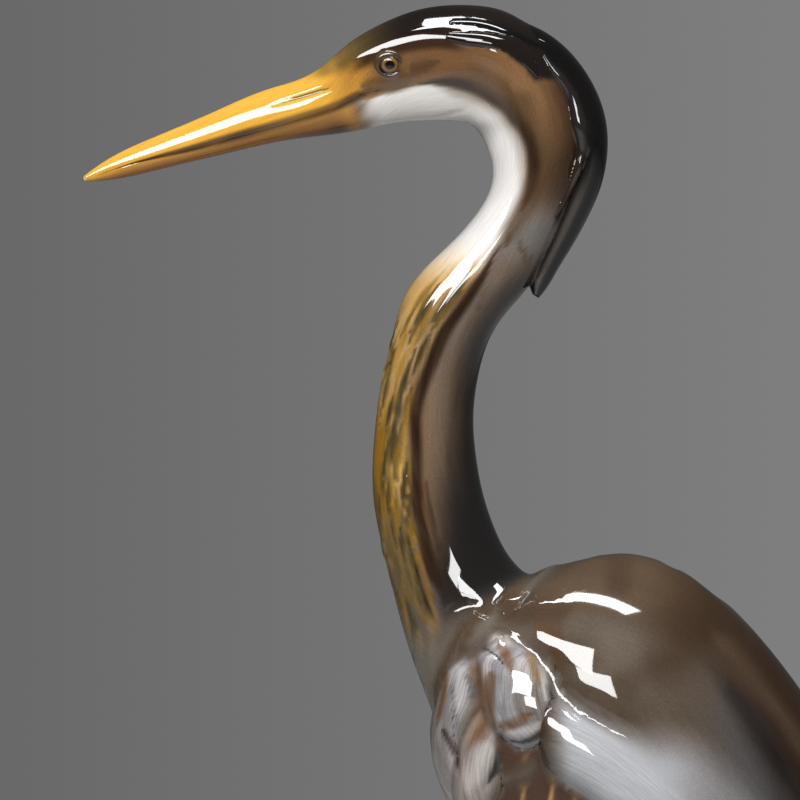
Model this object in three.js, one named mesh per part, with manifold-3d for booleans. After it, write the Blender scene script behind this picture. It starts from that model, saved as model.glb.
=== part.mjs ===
// A porcelain heron standing on a low oval mound, moulded and fired as one piece.
// Millimetres, +Z up. The bill points to -X, the bird's left side faces -Y, and the origin is on the
// ground under the middle of the whole figure.
import * as THREE from "three";
import { mergeVertices } from "three/addons/utils/BufferGeometryUtils.js";
import Module from "manifold-3d";

const wasm = await Module();
wasm.setup();

// Colours of the fired paint and how glossy the glaze is.
const GLAZE = { color: 0x6b5545, roughness: 0.12, metalness: 0 };

// The mound under the feet. side and crown are the places of its rings, as shares of its breadth from
// the middle out, and waves the count and share of the bulges that make its outline uneven.
const MOUND = {
  x: 44,
  halfLength: 72,
  halfWidth: 50,
  top: 23,
  shoulder: 13,
  flatness: 2.4,
  recess: 1.5,
  rim: 9,
  rimWall: 0.02,
  foot: 0.965,
  side: [
    [1, 4],
    [0.985, 9],
  ],
  crown: [0.93, 0.8, 0.6, 0.35, 0.12],
  waves: [
    [3, 0.02],
    [5, 0.012],
  ],
};

// One row is one cross-section of a form. It runs from a point on one edge, through the middle, to a
// point on the opposite edge: [x, y, z] each. Then come half the thickness across that line, where
// along it the form is thickest (0 at the first edge, 1 at the second), and the power of the curve
// on either side of that place (2 is an ellipse, less is keeled, more is boxy).
const flat = (back, front, half, widest = 0.5, powers = [2, 2]) => ({
  a: [back[0], 0, back[1]],
  b: [front[0], 0, front[1]],
  half,
  widest,
  powers,
});
const leaning = (a, b, half, widest = 0.5) => ({ a, b, half, widest, powers: [2, 2] });

// The bird's own profile, from the bill's tip over the head and down the neck to the tail.
const BILL_ROWS = [
  flat([-122.8, 372.8], [-122.2, 371.4], 0.8),
  flat([-117.6, 376.6], [-116.2, 371.8], 1.8, 0.55, [1.8, 1.9]),
  flat([-103.9, 383.5], [-101.1, 374.9], 2.8, 0.58, [1.7, 1.9]),
  flat([-87.1, 390.6], [-83.4, 379.1], 3.8, 0.6, [1.7, 1.9]),
  flat([-70.3, 397.6], [-65.8, 383.0], 5.0, 0.6, [1.7, 1.9]),
  flat([-58.6, 401.9], [-53.2, 384.6], 6.2, 0.58, [1.8, 2]),
];
const HEAD_ROWS = [
  flat([-53.4, 405.8], [-47.6, 385.4], 7.4, 0.56),
  flat([-48.2, 410.3], [-41.2, 386.7], 9.2, 0.54),
  flat([-38.1, 416.2], [-33.3, 388.2], 11.0, 0.52),
  flat([-26.9, 420.1], [-25.0, 388.6], 12.0),
  flat([-15.7, 421.0], [-18.2, 388.5], 12.7),
  flat([-5.3, 419.5], [-14.0, 387.4], 13.0),
  flat([3.9, 413.9], [-11.0, 384.2], 12.8),
  flat([10.9, 405.8], [-9.0, 379.8], 12.4),
];
const NECK_ROWS = [
  flat([15.6, 396.1], [-7.9, 374.8], 12.0),
  flat([17.8, 385.6], [-8.6, 369.6], 11.8),
  flat([16.6, 374.4], [-10.9, 364.8], 11.7),
  flat([12.6, 363.0], [-15.6, 358.6], 11.8),
  flat([7.4, 352.2], [-22.9, 351.2], 12.1),
  flat([1.7, 341.6], [-30.3, 343.4], 12.6),
  flat([-3.9, 335.0], [-34.0, 336.2], 12.8),
  flat([-8.5, 328.0], [-36.2, 327.4], 12.8),
  flat([-11.9, 317.2], [-38.9, 316.4], 12.9),
  flat([-13.3, 305.6], [-40.6, 305.0], 13.2),
  flat([-12.6, 294.8], [-41.5, 294.0], 13.7),
  flat([-10.6, 284.0], [-41.3, 282.4], 14.6),
  flat([-7.0, 273.4], [-38.9, 269.4], 15.6),
  flat([-1.8, 264.6], [-34.9, 253.2], 17.4),
];
const BODY_ROWS = [
  flat([6.8, 259.2], [-30.6, 238.4], 21.6),
  flat([17.6, 260.4], [-25.2, 223.8], 27.0),
  flat([29.4, 260.4], [-19.6, 208.2], 31.6),
  flat([42.2, 256.2], [-11.4, 190.4], 34.6),
  flat([55.6, 248.2], [-1.0, 173.6], 35.0),
  flat([68.2, 235.0], [12.4, 158.2], 34.0, 0.48),
  flat([80.2, 218.0], [28.4, 146.4], 31.6, 0.46),
  flat([91.2, 199.4], [46.8, 138.8], 28.0, 0.44),
  flat([100.6, 180.4], [65.4, 134.6], 23.4, 0.44),
  flat([108.2, 161.4], [82.4, 128.6], 18.6, 0.45),
];
const TAIL_ROWS = [
  flat([114.0, 143.6], [95.8, 120.4], 14.8),
  flat([118.4, 126.8], [105.8, 110.4], 12.6),
  flat([121.6, 112.4], [112.8, 102.4], 11.0),
  flat([122.8, 103.6], [118.0, 99.6], 8.2),
];
const CORE = [...BILL_ROWS, ...HEAD_ROWS, ...NECK_ROWS, ...BODY_ROWS, ...TAIL_ROWS];

// The crest, a plume that lies down the nape and ends free.
const CREST = [
  flat([-4.0, 416.8], [-1.0, 408.0], 4.0),
  flat([3.6, 415.0], [3.0, 403.0], 6.4),
  flat([10.1, 411.2], [6.6, 398.6], 7.4),
  flat([16.0, 405.3], [9.6, 392.8], 7.9),
  flat([21.0, 397.3], [12.0, 388.0], 8.0),
  flat([23.8, 388.9], [14.4, 384.2], 7.8),
  flat([24.3, 379.8], [15.0, 378.9], 7.2),
  flat([22.8, 371.2], [13.6, 373.4], 6.4),
  flat([19.3, 362.5], [11.0, 366.6], 5.6),
  flat([14.5, 353.6], [7.8, 358.4], 4.6),
  flat([10.0, 346.2], [4.6, 350.2], 3.7),
  flat([6.9, 341.1], [2.4, 343.6], 2.6),
  flat([5.0, 338.8], [3.2, 339.9], 1.2),
];

// The left half of the mantle, the rounded mass of long feathers over the shoulder and back.
const MANTLE = [
  leaning([-3.4, -17.0, 250.4], [-4.6, -21.0, 246.4], 1.8),
  leaning([1.4, -9.0, 255.1], [0.0, -26.8, 240.0], 6.6),
  leaning([9.6, -5.6, 260.9], [7.0, -30.4, 230.4], 10.4),
  leaning([23.4, -4.0, 265.8], [17.6, -32.0, 216.6], 12.6),
  leaning([40.0, -3.4, 263.4], [31.2, -32.8, 206.2], 13.6),
  leaning([57.0, -3.2, 251.1], [45.4, -32.8, 194.4], 13.6),
  leaning([72.0, -3.0, 232.9], [60.0, -31.2, 182.0], 12.8),
  leaning([85.2, -3.0, 214.3], [74.0, -27.8, 169.4], 11.4),
  leaning([95.6, -2.8, 195.3], [87.0, -23.4, 156.4], 9.6),
  leaning([104.4, -2.6, 176.1], [98.2, -18.2, 144.2], 7.6),
  leaning([111.8, -2.4, 156.7], [107.2, -13.0, 133.0], 5.4),
  leaning([117.2, -3.6, 139.4], [114.4, -8.4, 124.4], 3.2),
  leaning([119.6, -3.2, 129.0], [118.4, -4.6, 123.8], 1.2),
];

// The left wing, closed along the flank: its rounded wrist in front, its lower edge a firm ridge.
const WING = [
  leaning([4.0, -29.0, 229.6], [4.6, -30.6, 225.4], 1.6),
  leaning([5.4, -26.8, 233.4], [6.6, -33.0, 211.6], 7.0),
  leaning([11.6, -27.4, 231.6], [11.8, -35.4, 206.6], 8.8),
  leaning([21.8, -28.6, 223.4], [22.4, -37.2, 200.2], 9.2),
  leaning([34.4, -29.0, 211.8], [36.8, -37.2, 188.6], 8.8),
  leaning([48.0, -28.4, 198.0], [51.0, -35.6, 175.2], 8.2),
  leaning([61.6, -26.4, 183.6], [65.0, -32.4, 161.2], 7.6),
  leaning([75.2, -23.0, 167.6], [78.6, -27.6, 146.6], 7.0),
  leaning([88.6, -18.4, 151.4], [91.4, -21.8, 133.0], 5.8),
  leaning([101.0, -13.2, 137.2], [102.6, -15.8, 121.8], 4.2),
  leaning([112.0, -9.0, 124.0], [112.6, -10.4, 113.8], 2.6),
  leaning([118.0, -7.0, 116.2], [118.2, -7.6, 111.4], 1.2),
];

// The rounded masses of the left shoulder, from its top down: the shoulder itself, the pale knob on
// the wrist, and the two drooping tufts in front of it, over the breast.
const SHOULDER = {
  mass: [
    leaning([-9.4, -16.0, 252.0], [-4.0, -18.6, 252.4], 1.8),
    leaning([-16.0, -11.6, 247.8], [3.4, -25.0, 249.0], 5.6),
    leaning([-19.8, -9.6, 240.4], [9.0, -29.0, 241.0], 8.6),
    leaning([-21.2, -8.8, 230.8], [11.6, -31.0, 230.6], 9.4),
    leaning([-20.4, -9.2, 221.4], [11.0, -31.0, 220.4], 9.0),
    leaning([-17.4, -11.0, 213.2], [8.6, -29.6, 211.4], 7.2),
    leaning([-12.6, -14.0, 207.4], [3.6, -25.6, 205.6], 4.4),
    leaning([-7.4, -17.6, 203.6], [-4.4, -19.9, 203.0], 1.4),
  ],
  knob: [
    leaning([-8.0, -26.8, 245.2], [-3.6, -28.8, 245.4], 1.6),
    leaning([-11.4, -23.6, 241.2], [5.0, -32.0, 241.4], 5.4),
    leaning([-12.0, -23.0, 234.0], [9.2, -34.4, 234.0], 7.6),
    leaning([-10.8, -23.8, 226.0], [10.6, -34.8, 225.6], 7.8),
    leaning([-7.6, -26.0, 218.8], [8.8, -33.4, 218.0], 6.4),
    leaning([-2.6, -28.8, 213.4], [4.2, -31.4, 213.0], 2.4),
  ],
  frontTuft: [
    leaning([-16.0, -20.2, 243.0], [-11.4, -23.4, 243.2], 1.6),
    leaning([-19.4, -16.0, 239.0], [-5.0, -27.2, 239.4], 4.8),
    leaning([-22.0, -12.4, 229.0], [-5.0, -27.6, 228.6], 6.6),
    leaning([-23.6, -9.6, 219.8], [-8.6, -25.4, 219.0], 7.0),
    leaning([-23.4, -8.8, 211.4], [-11.8, -22.6, 210.6], 6.0),
    leaning([-21.6, -9.8, 203.6], [-14.4, -19.2, 202.8], 4.2),
    leaning([-19.4, -12.6, 196.2], [-17.8, -14.6, 195.8], 1.2),
  ],
  rearTuft: [
    leaning([-11.4, -24.2, 229.4], [-7.0, -27.2, 229.2], 2.0),
    leaning([-14.4, -20.4, 221.4], [-5.6, -28.4, 220.6], 5.0),
    leaning([-16.6, -18.2, 212.4], [-5.2, -28.0, 211.4], 6.2),
    leaning([-17.6, -16.8, 204.4], [-6.6, -26.2, 203.0], 5.8),
    leaning([-17.4, -16.6, 197.2], [-10.2, -23.0, 196.0], 4.0),
    leaning([-16.0, -18.2, 190.8], [-14.4, -19.8, 190.4], 1.1),
  ],
};

// The eyes, on either side of the head: a low dome inside a rounded lid, from a flange in the head.
const EYE = { x: -36.7, z: 403.6, y: 10.5, radius: 2.75, lid: 3.5, dome: 1.5, rise: 0.7, depth: 3 };
const EYE_PROFILE = [
  [0, -EYE.depth],
  [EYE.lid + 0.6, -EYE.depth],
  [EYE.lid + 0.3, 0.2],
  [EYE.lid, EYE.rise],
  [EYE.radius + 0.1, EYE.rise * 0.6],
  [EYE.radius * 0.72, EYE.dome * 0.75],
  [EYE.radius * 0.36, EYE.dome],
  [0, EYE.dome * 1.08],
];

// The legs: the height, place and radius of each from inside the belly to the ankle.
const LEG_RADII = [8, 12.6, 12, 8.8, 5.8, 4.2, 5.5, 4.2, 3.7, 4.6];
const LEG_HEIGHTS = [176, 156, 142, 126, 111, 100, 90, 79, 50, 24];
const LEGS = {
  left: { y: -14.5, x: [38, 37, 37.4, 39.2, 41.3, 42.5, 42.8, 41.8, 40, 38] },
  right: { y: 14.5, x: [50, 50, 51.4, 54, 56.8, 58.4, 59, 59, 60, 62] },
};
const THIGH = { rows: 4, flatness: 0.8 };
const TOES = {
  angles: [-30, 0, 28, 176],
  lengths: [33, 40, 34, 23],
  root: 3.3,
  tip: 1.7,
  steps: [-0.1, 0.15, 0.45, 0.75, 1],
  knuckles: [0, 1.6, 0.6, 0.5, -0.6],
  sink: 0.4,
};

// The clump of broad reed leaves that carries the belly between the legs.
const REEDS = [
  { x: 47, y: -2, lean: [6, -3], height: 150, width: 8.2 },
  { x: 56, y: 3, lean: [16, 2], height: 142, width: 8.0 },
  { x: 51, y: 5, lean: [-16, 2], height: 146, width: 7.4 },
  { x: 63, y: -6, lean: [26, -10], height: 108, width: 7.2 },
  { x: 66, y: 5, lean: [34, 12], height: 84, width: 6.8 },
  { x: 40, y: 1, lean: [-24, -5], height: 92, width: 6.6 },
  { x: 54, y: -8, lean: [6, -17], height: 66, width: 6.4 },
];
const REED = {
  base: 14,
  thickness: 3.4,
  steps: [0, 0.25, 0.5, 0.75, 0.93, 1],
  taperStart: 0.18,
  taperSpan: 0.8,
  taperPower: 0.8,
  tipRadius: 0.6,
  tipThickness: 0.5,
};

// How finely each form is divided, along it and round it.
const DETAIL = {
  core: { rings: 62, sides: 22 },
  crest: { rings: 15, sides: 10 },
  mantle: { rings: 15, sides: 12 },
  wing: { rings: 13, sides: 10 },
  shoulder: { rings: 6, sides: 9 },
  eye: { sides: 14 },
  leg: { rings: 13, sides: 8 },
  toe: { rings: 5, sides: 6 },
  reed: { rings: 7, sides: 7 },
  mound: { sides: 36 },
};
// How closely the rings lie in each stretch, against the average.
const CROWD = { bill: 0.5, head: 1.8, neck: 1.1, body: 0.8, frontEnd: 2.6 };
const FRONT_END_ROWS = 3;

const KNOT_GAP = 0.2;
const TANGENT_STEP = 1 / 400;
const WELD = 1e-4;

// A natural cubic spline through rows of numbers at the given knots.
function spline(knots, rows) {
  const last = rows.length - 1;
  const bend = rows.map((row) => row.map(() => 0));
  const upper = rows.map(() => 0);
  for (let i = 1; i < last; i++) {
    const before = knots[i] - knots[i - 1];
    const after = knots[i + 1] - knots[i];
    const pivot = 2 * (before + after) - before * upper[i - 1];
    upper[i] = after / pivot;
    rows[i].forEach((value, c) => {
      const turn = (rows[i + 1][c] - value) / after - (value - rows[i - 1][c]) / before;
      bend[i][c] = (6 * turn - before * bend[i - 1][c]) / pivot;
    });
  }
  for (let i = last - 1; i > 0; i--)
    bend[i] = bend[i].map((value, c) => value - upper[i] * bend[i + 1][c]);
  return (t) => {
    let i = 0;
    while (i < last - 1 && t > knots[i + 1]) i++;
    const span = knots[i + 1] - knots[i];
    const p = (knots[i + 1] - t) / span;
    const q = 1 - p;
    return rows[i].map((value, c) => {
      const curve = (p ** 3 - p) * bend[i][c] + (q ** 3 - q) * bend[i + 1][c];
      return p * value + q * rows[i + 1][c] + (curve * span * span) / 6;
    });
  };
}

const middleOf = (row) => row.a.map((value, i) => (value + row.b[i]) / 2);
const distance = (p, q) => Math.hypot(...p.map((value, i) => value - q[i]));
const curved = (value, power) => Math.sign(value) * Math.abs(value) ** (2 / power);

// A closed skin from rings of points, with a fan of triangles over each end.
function skin(rings) {
  const sides = rings[0].length;
  const points = rings.flat();
  const faces = [];
  for (let i = 0; i + 1 < rings.length; i++)
    for (let j = 0; j < sides; j++) {
      const k = (j + 1) % sides;
      const [p, q, r, s] = [i * sides + j, i * sides + k, (i + 1) * sides + k, (i + 1) * sides + j];
      faces.push(p, q, r, p, r, s);
    }
  for (const end of [0, rings.length - 1]) {
    const ring = rings[end];
    const hub = points.length;
    points.push(ring[0].map((_, c) => ring.reduce((sum, point) => sum + point[c], 0) / sides));
    for (let j = 0; j < sides; j++) {
      const [p, q] = [end * sides + j, end * sides + ((j + 1) % sides)];
      faces.push(...(end ? [p, q, hub] : [q, p, hub]));
    }
  }
  const geometry = new THREE.BufferGeometry();
  geometry.setAttribute("position", new THREE.Float32BufferAttribute(points.flat(), 3));
  geometry.setIndex(faces);
  return geometry;
}

// Signed volume, which is negative where the faces of a closed skin point inwards.
function volumeOf(geometry) {
  const at = (k) => new THREE.Vector3().fromBufferAttribute(geometry.attributes.position, k);
  const index = geometry.index.array;
  let sum = 0;
  for (let i = 0; i < index.length; i += 3)
    sum += at(index[i]).dot(at(index[i + 1]).cross(at(index[i + 2])));
  return sum / 6;
}

// A closed skin as a solid, turned to face outwards.
function solid(geometry) {
  const g = mergeVertices(geometry, WELD);
  const faces = Uint32Array.from(g.index.array);
  if (volumeOf(g) < 0)
    for (let i = 0; i < faces.length; i += 3) [faces[i + 1], faces[i + 2]] = [faces[i + 2], faces[i + 1]];
  const mesh = new wasm.Mesh({ numProp: 3, vertProperties: g.attributes.position.array, triVerts: faces });
  return new wasm.Manifold(mesh);
}

// A solid through cross-section rows, smooth along its length. crowd says how closely the rings lie
// in each stretch between two rows.
function loft(rows, { rings: ringCount, sides }, crowd = () => 1) {
  const knots = [0];
  const share = [0];
  rows.slice(1).forEach((row, i) => {
    const step = distance(middleOf(row), middleOf(rows[i])) + KNOT_GAP;
    knots.push(knots[i] + step);
    share.push(share[i] + step * crowd(i));
  });
  const shape = spline(knots, rows.map((row) => [...row.a, ...row.b, row.half, row.widest, ...row.powers]));
  const rings = [];
  let i = 0;
  for (let n = 0; n <= ringCount; n++) {
    const wanted = (share.at(-1) * n) / ringCount;
    while (i < rows.length - 2 && wanted > share[i + 1]) i++;
    const part = (wanted - share[i]) / (share[i + 1] - share[i]);
    const t = knots[i] + part * (knots[i + 1] - knots[i]);
    rings.push(ringAt(shape, t, knots.at(-1), sides));
  }
  return solid(skin(rings));
}

// The ring of points round the cross-section at t.
function ringAt(shape, t, end, sides) {
  const row = shape(t);
  const [a, b] = [new THREE.Vector3(...row.slice(0, 3)), new THREE.Vector3(...row.slice(3, 6))];
  const [half, widest, powerA, powerB] = row.slice(6);
  const step = end * TANGENT_STEP;
  const ends = [Math.max(0, t - step), Math.min(end, t + step)].map((at) => {
    const r = shape(at);
    return new THREE.Vector3(r[0] + r[3], r[1] + r[4], r[2] + r[5]);
  });
  const along = ends[1].sub(ends[0]);
  const across = new THREE.Vector3().crossVectors(b.clone().sub(a), along).normalize();
  const centre = a.clone().lerp(b, widest);
  return Array.from({ length: sides }, (_, j) => {
    const angle = (2 * Math.PI * j) / sides;
    const [towards, aside] = [Math.cos(angle), Math.sin(angle)];
    const [edge, power] = towards > 0 ? [a, powerA] : [b, powerB];
    const point = centre.clone().lerp(edge, Math.abs(curved(towards, power)));
    return point.addScaledVector(across, half * curved(aside, power)).toArray();
  });
}

const mirrorPoint = ([x, y, z]) => [x, -y, z];
const mirrored = (rows) => rows.map((row) => ({ ...row, a: mirrorPoint(row.a), b: mirrorPoint(row.b) }));
const bothSides = (rows, ...detail) => [loft(rows, ...detail), loft(mirrored(rows), ...detail)];

// A bar through places, with its cross-section's main axis along the given direction.
function bar(places, axis, detail) {
  const rows = places.map(({ at, radius, thickness = radius }) => ({
    a: at.map((value, c) => value + axis[c] * radius),
    b: at.map((value, c) => value - axis[c] * radius),
    half: thickness,
    widest: 0.5,
    powers: [2, 2],
  }));
  return loft(rows, detail);
}

// Height of the mound's top at a place, level in the middle and rounded off towards its edge.
function ground(x, y) {
  const out = Math.hypot((x - MOUND.x) / MOUND.halfLength, y / MOUND.halfWidth);
  return MOUND.shoulder + (MOUND.top - MOUND.shoulder) * Math.max(0, 1 - out ** MOUND.flatness);
}

// The mound: a recessed underside inside a flat foot rim, a rounded side and a gently domed top.
function mound() {
  const { sides } = DETAIL.mound;
  const rim = 1 - MOUND.rim / MOUND.halfWidth;
  const levels = [
    [rim / 2, MOUND.recess],
    [rim - MOUND.rimWall, MOUND.recess],
    [rim, 0],
    [MOUND.foot, 0],
    ...MOUND.side,
  ];
  const ringOf = (share, height) =>
    Array.from({ length: sides }, (_, j) => {
      const angle = (2 * Math.PI * j) / sides;
      const uneven = MOUND.waves.reduce((sum, [count, size]) => sum + size * Math.cos(count * angle), 1);
      const reach = share * uneven;
      const x = MOUND.x + reach * MOUND.halfLength * Math.cos(angle);
      const y = reach * MOUND.halfWidth * Math.sin(angle);
      return [x, y, height ?? ground(x, y)];
    });
  const rings = levels.map(([share, height]) => ringOf(share, height));
  for (const share of MOUND.crown) rings.push(ringOf(share));
  return solid(skin(rings));
}

// A toe from the foot outwards, rounded over the mound.
function toe(foot, angle, length) {
  const way = THREE.MathUtils.degToRad(180 + angle);
  const places = TOES.steps.map((share, k) => {
    const x = foot.x + Math.cos(way) * length * share;
    const y = foot.y + Math.sin(way) * length * share;
    const radius = THREE.MathUtils.lerp(TOES.root, TOES.tip, share);
    return { at: [x, y, ground(x, y) + TOES.knuckles[k] - TOES.sink], radius };
  });
  return bar(places, [0, 0, 1], DETAIL.toe);
}

// One leg with its four toes.
function leg({ x, y }) {
  const places = LEG_HEIGHTS.map((z, i) => {
    const radius = LEG_RADII[i];
    return { at: [x[i], y, z], radius, thickness: i < THIGH.rows ? radius * THIGH.flatness : radius };
  });
  const foot = { x: x.at(-1), y };
  const toes = TOES.angles.map((angle, i) => toe(foot, angle, TOES.lengths[i]));
  return [bar(places, [1, 0, 0], DETAIL.leg), ...toes];
}

// One reed leaf, leaning more the higher it gets and tapering to its tip.
function reed({ x, y, lean, height, width }) {
  const turn = Math.atan2(lean[1], lean[0]) + Math.PI / 2;
  const places = REED.steps.map((share) => {
    const taper = Math.sin(Math.PI * (REED.taperStart + REED.taperSpan * share)) ** REED.taperPower;
    return {
      at: [x + lean[0] * share ** 2, y + lean[1] * share ** 2, REED.base + (height - REED.base) * share],
      radius: REED.tipRadius + width * taper,
      thickness: REED.tipThickness + REED.thickness * taper,
    };
  });
  return bar(places, [Math.cos(turn), Math.sin(turn), 0], DETAIL.reed);
}

// An eye, turned about the y direction.
function eye(side) {
  const profile = EYE_PROFILE.map(([radius, height]) => new THREE.Vector2(radius, height));
  const geometry = new THREE.LatheGeometry(profile, DETAIL.eye.sides);
  geometry.deleteAttribute("normal");
  geometry.deleteAttribute("uv");
  if (side < 0) geometry.rotateX(Math.PI);
  return solid(geometry.translate(EYE.x, side * EYE.y, EYE.z));
}

// The rings crowd where the profile turns sharply, over the head and the top of the neck, and round
// the front ends of the mantle and wing.
const headStart = BILL_ROWS.length - 1;
const neckStart = headStart + HEAD_ROWS.length + 3;
const bodyStart = headStart + HEAD_ROWS.length + NECK_ROWS.length + 1;
const crowdCore = (i) => {
  if (i < headStart) return CROWD.bill;
  if (i < neckStart) return CROWD.head;
  return i < bodyStart ? CROWD.neck : CROWD.body;
};
const crowdFront = (i) => (i < FRONT_END_ROWS ? CROWD.frontEnd : 1);

const pieces = [
  loft(CORE, DETAIL.core, crowdCore),
  loft(CREST, DETAIL.crest),
  ...bothSides(MANTLE, DETAIL.mantle, crowdFront),
  ...bothSides(WING, DETAIL.wing, crowdFront),
  ...Object.values(SHOULDER).flatMap((rows) => bothSides(rows, DETAIL.shoulder)),
  eye(-1),
  eye(1),
  ...leg(LEGS.left),
  ...leg(LEGS.right),
  ...REEDS.map(reed),
  mound(),
];
// Small pockets enclosed between the joined pieces are filled: only the outermost skin is kept.
const skins = pieces.reduce((whole, piece) => whole.add(piece)).decompose();
const figure = skins.reduce((outer, inner) => (inner.volume() > outer.volume() ? inner : outer));

const { vertProperties, triVerts } = figure.getMesh();
const geometry = new THREE.BufferGeometry();
geometry.setAttribute("position", new THREE.BufferAttribute(vertProperties, 3));
geometry.setIndex(new THREE.BufferAttribute(triVerts, 1));
geometry.computeVertexNormals();

const heron = new THREE.Mesh(geometry, new THREE.MeshStandardMaterial(GLAZE));
heron.name = "heron_figurine";
const group = new THREE.Group();
group.add(heron);

export default group;
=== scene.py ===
import copy
import math

import bpy
import numpy as np
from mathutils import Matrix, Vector
from mathutils.bvhtree import BVHTree
from mathutils.kdtree import KDTree


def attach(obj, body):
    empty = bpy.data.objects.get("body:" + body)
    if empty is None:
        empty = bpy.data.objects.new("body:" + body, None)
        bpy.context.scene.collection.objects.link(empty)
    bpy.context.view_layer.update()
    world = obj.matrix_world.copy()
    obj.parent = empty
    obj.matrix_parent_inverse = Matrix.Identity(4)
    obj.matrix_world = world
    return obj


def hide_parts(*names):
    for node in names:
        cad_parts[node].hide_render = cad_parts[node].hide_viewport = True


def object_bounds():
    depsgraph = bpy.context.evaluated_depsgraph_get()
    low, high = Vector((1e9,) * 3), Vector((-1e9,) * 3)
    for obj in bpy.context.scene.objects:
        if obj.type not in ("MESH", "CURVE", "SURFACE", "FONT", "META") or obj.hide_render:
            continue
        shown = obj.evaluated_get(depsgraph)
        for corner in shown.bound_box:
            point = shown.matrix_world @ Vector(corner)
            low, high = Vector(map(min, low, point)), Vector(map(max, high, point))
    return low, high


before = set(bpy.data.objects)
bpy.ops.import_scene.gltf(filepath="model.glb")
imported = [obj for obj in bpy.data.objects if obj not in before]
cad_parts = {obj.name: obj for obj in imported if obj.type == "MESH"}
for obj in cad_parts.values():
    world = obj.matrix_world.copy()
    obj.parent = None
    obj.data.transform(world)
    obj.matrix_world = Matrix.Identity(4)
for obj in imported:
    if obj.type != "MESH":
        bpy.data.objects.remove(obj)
cad_low, cad_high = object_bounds()

NODE = "heron_figurine"
MM = 0.001
BOX_LOW = np.array(cad_low) / MM
BOX_HIGH = np.array(cad_high) / MM

# The cross-section rows of the solid's forms. A row holds a point on one edge of the section, a point
# on the opposite edge, and half the thickness across. In the bird's middle plane a point is x and z,
# and a row may add where between its edges the section is thickest and the power of its curve on
# either side of that place. Elsewhere a point is x, y and z, and the section is an oval.
OVAL = (0.5, 2, 2)
CORE = [
    # Bill.
    (-122.8, 372.8, -122.2, 371.4, 0.8),
    (-117.6, 376.6, -116.2, 371.8, 1.8, 0.55, 1.8, 1.9),
    (-103.9, 383.5, -101.1, 374.9, 2.8, 0.58, 1.7, 1.9),
    (-87.1, 390.6, -83.4, 379.1, 3.8, 0.6, 1.7, 1.9),
    (-70.3, 397.6, -65.8, 383, 5, 0.6, 1.7, 1.9),
    (-58.6, 401.9, -53.2, 384.6, 6.2, 0.58, 1.8, 2),
    # Head.
    (-53.4, 405.8, -47.6, 385.4, 7.4, 0.56),
    (-48.2, 410.3, -41.2, 386.7, 9.2, 0.54),
    (-38.1, 416.2, -33.3, 388.2, 11, 0.52),
    (-26.9, 420.1, -25, 388.6, 12),
    (-15.7, 421, -18.2, 388.5, 12.7),
    (-5.3, 419.5, -14, 387.4, 13),
    (3.9, 413.9, -11, 384.2, 12.8),
    (10.9, 405.8, -9, 379.8, 12.4),
    # Neck.
    (15.6, 396.1, -7.9, 374.8, 12),
    (17.8, 385.6, -8.6, 369.6, 11.8),
    (16.6, 374.4, -10.9, 364.8, 11.7),
    (12.6, 363, -15.6, 358.6, 11.8),
    (7.4, 352.2, -22.9, 351.2, 12.1),
    (1.7, 341.6, -30.3, 343.4, 12.6),
    (-3.9, 335, -34, 336.2, 12.8),
    (-8.5, 328, -36.2, 327.4, 12.8),
    (-11.9, 317.2, -38.9, 316.4, 12.9),
    (-13.3, 305.6, -40.6, 305, 13.2),
    (-12.6, 294.8, -41.5, 294, 13.7),
    (-10.6, 284, -41.3, 282.4, 14.6),
    (-7, 273.4, -38.9, 269.4, 15.6),
    (-1.8, 264.6, -34.9, 253.2, 17.4),
    # Body.
    (6.8, 259.2, -30.6, 238.4, 21.6),
    (17.6, 260.4, -25.2, 223.8, 27),
    (29.4, 260.4, -19.6, 208.2, 31.6),
    (42.2, 256.2, -11.4, 190.4, 34.6),
    (55.6, 248.2, -1, 173.6, 35),
    (68.2, 235, 12.4, 158.2, 34, 0.48),
    (80.2, 218, 28.4, 146.4, 31.6, 0.46),
    (91.2, 199.4, 46.8, 138.8, 28, 0.44),
    (100.6, 180.4, 65.4, 134.6, 23.4, 0.44),
    (108.2, 161.4, 82.4, 128.6, 18.6, 0.45),
    # Tail.
    (114, 143.6, 95.8, 120.4, 14.8),
    (118.4, 126.8, 105.8, 110.4, 12.6),
    (121.6, 112.4, 112.8, 102.4, 11),
    (122.8, 103.6, 118, 99.6, 8.2),
]
CREST = [
    (-4, 416.8, -1, 408, 4),
    (3.6, 415, 3, 403, 6.4),
    (10.1, 411.2, 6.6, 398.6, 7.4),
    (16, 405.3, 9.6, 392.8, 7.9),
    (21, 397.3, 12, 388, 8),
    (23.8, 388.9, 14.4, 384.2, 7.8),
    (24.3, 379.8, 15, 378.9, 7.2),
    (22.8, 371.2, 13.6, 373.4, 6.4),
    (19.3, 362.5, 11, 366.6, 5.6),
    (14.5, 353.6, 7.8, 358.4, 4.6),
    (10, 346.2, 4.6, 350.2, 3.7),
    (6.9, 341.1, 2.4, 343.6, 2.6),
    (5, 338.8, 3.2, 339.9, 1.2),
]
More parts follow.
